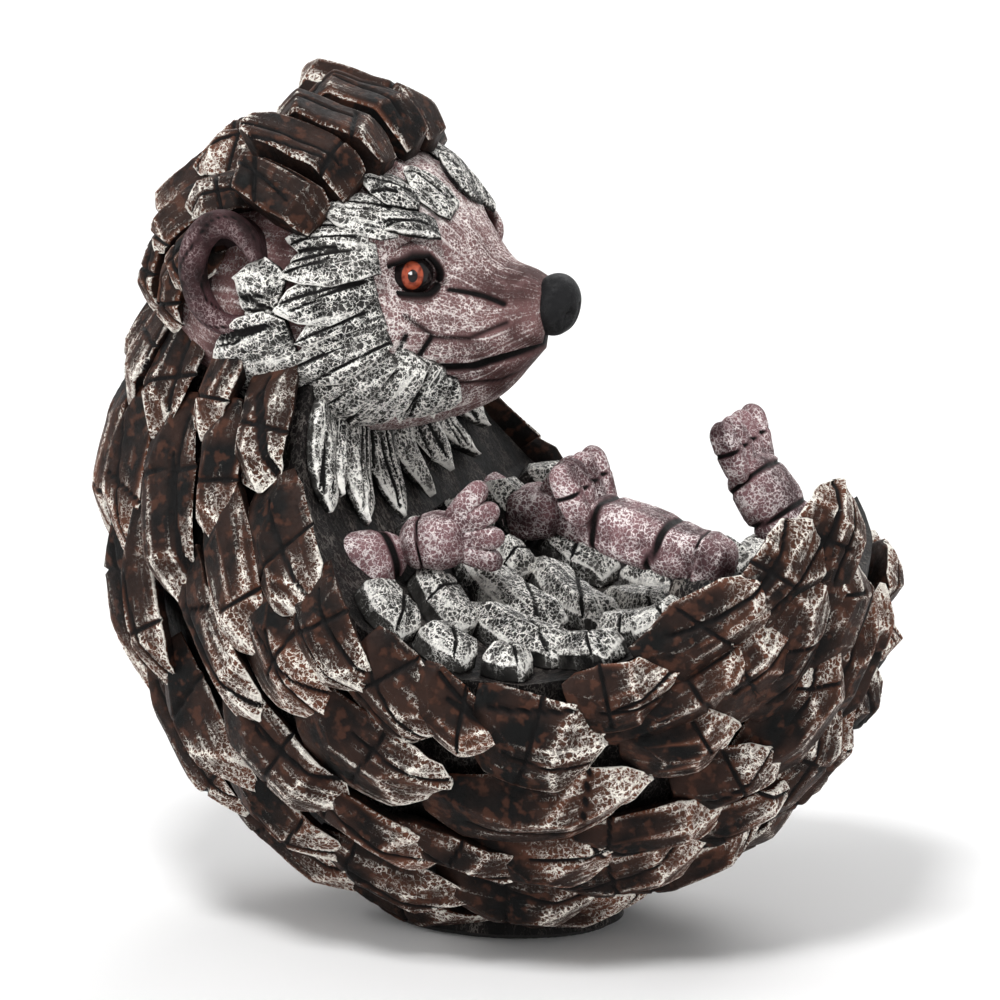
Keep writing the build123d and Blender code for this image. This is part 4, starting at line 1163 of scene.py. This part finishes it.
def arm(side, drop, seed):
    """A tube from the shoulder to the wrist, a flatter one for the palm, and a fan of
    fingers whose lean is an angle up from straight ahead."""
    elbow, wrist, palm = (body_spot(elbow_share, side), body_spot(wrist_share, side, drop),
                          body_spot(palm_share, side, drop))
    shoulder = elbow - unit(wrist - elbow) * upper_arm
    grids = [tube([shoulder, (elbow + wrist) / 2, wrist], arm_radii, 1.0, seed, arm_creases),
             tube([wrist + palm_start, palm, palm + palm_end], palm_radii, palm_flat, seed + 1,
                  palm_creases)]
    for k, (lean, spread) in enumerate(fingers):
        turn = math.radians(lean)
        ahead = np.array([math.cos(turn), -side * finger_inward, math.sin(turn)])
        root = palm + [finger_root, 0, finger_row * math.sin(turn) * spread]
        grids.append(tube([root, root + ahead * finger_joint, root + ahead * finger_length],
                          finger_radii, 0.95, seed + 2 + k, (), 30, 24))
    return grids


piece("arm_right_carved", arm(-1, 0.0, 41), "paw_paint", ["arm_right"])
piece("arm_left_carved", arm(1, 0.007, 51), "paw_paint", ["arm_left"])

# %% Legs and feet
leg_length, leg_radii = 0.026, [0.0088, 0.0088, 0.0068]
sole_start, sole_end, sole_radii, sole_flat = 0.004, 0.005, [0.0066, 0.0083, 0.0072], 0.78
heel_reach, heel_radii = 0.0066, [0.0050, 0.0068, 0.0056]
toe_places, toe_row, toe_fan = (-0.36, -0.12, 0.12, 0.36), 0.020, 0.50
toe_joint, toe_length, toe_radii, toe_width = 0.008, 0.0150, [0.0023, 0.0028, 0.0024], 1.15


def hind_leg(heel, ball_of_foot, toe_turn, seed):
    """An upright tube under the heel, and a foot of a sole, a heel pad and four toes that
    turn up from straight ahead."""
    floor_spot = heel - [0, 0, leg_length]
    leg = [tube([floor_spot, floor_spot * 0.4 + heel * 0.6, heel], leg_radii, 1.0, seed,
                (0.5,))]
    ahead = unit(ball_of_foot - heel)
    middle = heel * 0.45 + ball_of_foot * 0.55
    foot = [tube([heel - ahead * sole_start, middle, ball_of_foot + ahead * sole_end],
                 sole_radii, sole_flat, seed + 1, (0.4, 0.78)),
            tube([heel - ahead * heel_reach, heel, heel + ahead * heel_reach], heel_radii, 1.0,
                 seed + 2, (0.6,))]
    rise = np.array([math.cos(math.radians(toe_turn)), 0, math.sin(math.radians(toe_turn))])
    for k, aside in enumerate(toe_places):
        root = ball_of_foot + [0, aside * toe_row, 0]
        aim = rise + [0, aside * toe_fan, 0]
        foot.append(tube([root, root + aim * toe_joint, root + aim * toe_length], toe_radii,
                         toe_width, seed + 3 + k, (0.55,), 30, 24))
    return leg, foot


for name, heel, ball_of_foot, toe_turn, seed in (
        ("right", (0.70, -0.42, 0.02), (0.39, -0.40, 0.10), 112, 61),
        ("left", (0.70, 0.42, -0.06), (0.59, 0.42, 0.09), 110, 71)):
    leg, foot = hind_leg(body_spot(heel), body_spot(ball_of_foot), toe_turn, seed)
    piece("hind_leg_%s_carved" % name, leg, "shadow_paint", ["hind_leg_" + name])
    piece("hind_foot_%s_carved" % name, foot, "paw_paint", ["hind_foot_" + name])

# %% [markdown]
# ## The casting, the foot and the pad
#
# The dark casting only shows in the gaps between the quills, so its CAD shape is enough
# and takes the dark paint. The pad is cut from felt, so it is a new disc with a soft round
# edge and a fuzzy skin, and its paint adds the finest fibres as a bump.

# %% Paint what is carried over
felt, tree = new_material("felt")
here = wire(tree, "TexCoord").outputs["Object"]
fibre = noise(tree, here, 2500.0, 6.0).outputs[0]
colour = blend_colours(tree, fibre, (0.008, 0.008, 0.008, 1), (0.050, 0.048, 0.046, 1))
bump = wire(tree, "Bump", {"Height": fibre, "Strength": 0.8, "Distance": 0.0004})
shader = wire(tree, "BsdfPrincipled", {"Base Color": colour, "Roughness": 0.95,
                                       "Normal": bump.outputs[0]})
wire(tree, "OutputMaterial", {"Surface": shader.outputs[0]})
paints["felt"] = felt
# the casting and the foot take the shadow paint: near black, painted shade for the gaps between the
# quills and under the figurine
for name in ("body_casting", "base_foot"):
    for thing in [o for o in bpy.data.objects if o.type == "MESH" and o.name.startswith(name)]:
        for index in range(len(thing.data.materials)):
            thing.data.materials[index] = paints["shadow_paint"]
        print("painted", thing.name)

# %% Felt the pad
def felted_pad(columns=180, fuzz=0.00012):
    """Rings from the middle of the underside round a half-circle edge to the middle of the
    top, on an ellipse as wide as the CAD pad, each point sunk by a random share of fuzz."""
    low, high = (np.array(corner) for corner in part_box("felt_pad"))
    middle, half = (low + high) / 2, (high - low) / 2
    round_edge = np.radians(np.linspace(-90, 90, 13))
    flat = np.linspace(0.02, 0.94, 24)
    spread = np.concatenate([flat, 0 * round_edge + 1, flat[::-1]])[:, None]
    edge = np.concatenate([0 * flat, np.cos(round_edge), 0 * flat])[:, None]
    height = np.concatenate([0 * flat - 1, np.sin(round_edge), 0 * flat + 1])[:, None]
    turn = np.linspace(0, 2 * math.pi, columns, endpoint=False)[None, :]
    sunk = np.random.default_rng(81).uniform(0, fuzz, (len(spread), columns))
    reach = [half[k] * spread - half[2] * (1 - edge) * (spread == 1) - sunk * edge for k in (0, 1)]
    return middle + np.stack([reach[0] * np.cos(turn), reach[1] * np.sin(turn),
                              height * (half[2] - sunk)], -1)


piece("felt_pad_felted", [(felted_pad(), {})], "felt", ["felt_pad"])

# %% [markdown]
# ## Floor, light and camera
#
# The photograph is a studio picture: a white ground, wide soft lights and a camera a
# little above the figurine. The camera stands far off with a long lens, as such pictures
# are taken. The world is white only where the camera, a gloss or a clear thing sees it.

# %% The ground and the air
ground_reach, ground_grey, air_strength = 4.0, 0.9, 0.38
corners = [(x * ground_reach, y * ground_reach, 0) for x, y in ((-1, -1), (1, -1), (1, 1), (-1, 1))]
floor_mesh = bpy.data.meshes.new("floor")
floor_mesh.from_pydata(corners, [], [(0, 1, 2, 3)])
floor = bpy.data.objects.new("floor", floor_mesh)
bpy.context.scene.collection.objects.link(floor)
ground, tree = new_material("pale_ground")
shader = wire(tree, "BsdfPrincipled", {"Base Color": (ground_grey,) * 3 + (1,), "Roughness": 0.8})
wire(tree, "OutputMaterial", {"Surface": shader.outputs[0]})
floor_mesh.materials.append(ground)

world = bpy.data.worlds.new("studio")
bpy.context.scene.world = world
world.use_nodes = True
tree = world.node_tree
tree.nodes.clear()
rays = wire(tree, "LightPath").outputs
seen = math_node(tree, "MAXIMUM", rays["Is Camera Ray"], rays["Is Glossy Ray"])
seen = math_node(tree, "MAXIMUM", seen, rays["Is Transmission Ray"])
strength = total(tree, math_node(tree, "MULTIPLY", seen, 1 - air_strength), air_strength)
air = wire(tree, "Background", {"Color": (1, 1, 1, 1), "Strength": strength})
wire(tree, "OutputWorld", {"Surface": air.outputs[0]})
print("ground and air are in place")

# %% The lamps
lamps = {  # place, width in metres, power in watts and the place that it faces
    "key_box": ((0.1, -1.1, 1.9), 0.5, 30, (0, 0, 0.1)),
    "fill_box": ((1.7, -1.1, 0.8), 1.0, 6.5, (0, 0, 0.1)),
    "side_box": ((-1.8, -0.7, 1.0), 0.8, 14, (0, 0, 0.1)),
    "ground_box": ((0.0, 2.6, 2.2), 2.4, 75, (0, 2.6, 0)),
}
for name, (place, width, power, aim) in lamps.items():
    light = bpy.data.lights.new(name, "AREA")
    light.size, light.energy = width, power
    thing = bpy.data.objects.new(name, light)
    thing.location = place
    thing.rotation_euler = (Vector(aim) - Vector(place)).to_track_quat("-Z", "Y").to_euler()
    bpy.context.scene.collection.objects.link(thing)
    print(name, "gives", power, "W")

# %% The camera
camera_distance, sensor_width, photo_width = 2.2, 36.0, 0.225
azimuth, elevation = math.radians(22), math.radians(14)
middle = Vector((0, 0, 0.0967))
camera = bpy.data.objects.new("camera", bpy.data.cameras.new("camera"))
bpy.context.scene.collection.objects.link(camera)
bpy.context.scene.camera = camera
camera.location = middle + camera_distance * Vector((math.sin(azimuth) * math.cos(elevation),
                                                     -math.cos(azimuth) * math.cos(elevation),
                                                     math.sin(elevation)))
camera.rotation_euler = (middle - camera.location).to_track_quat("-Z", "Y").to_euler()
camera.data.sensor_width = sensor_width
camera.data.lens = sensor_width * camera_distance / photo_width
camera.data.clip_end = 50
bpy.context.scene.view_settings.view_transform = "Standard"
print("camera at", [round(c, 3) for c in camera.location])
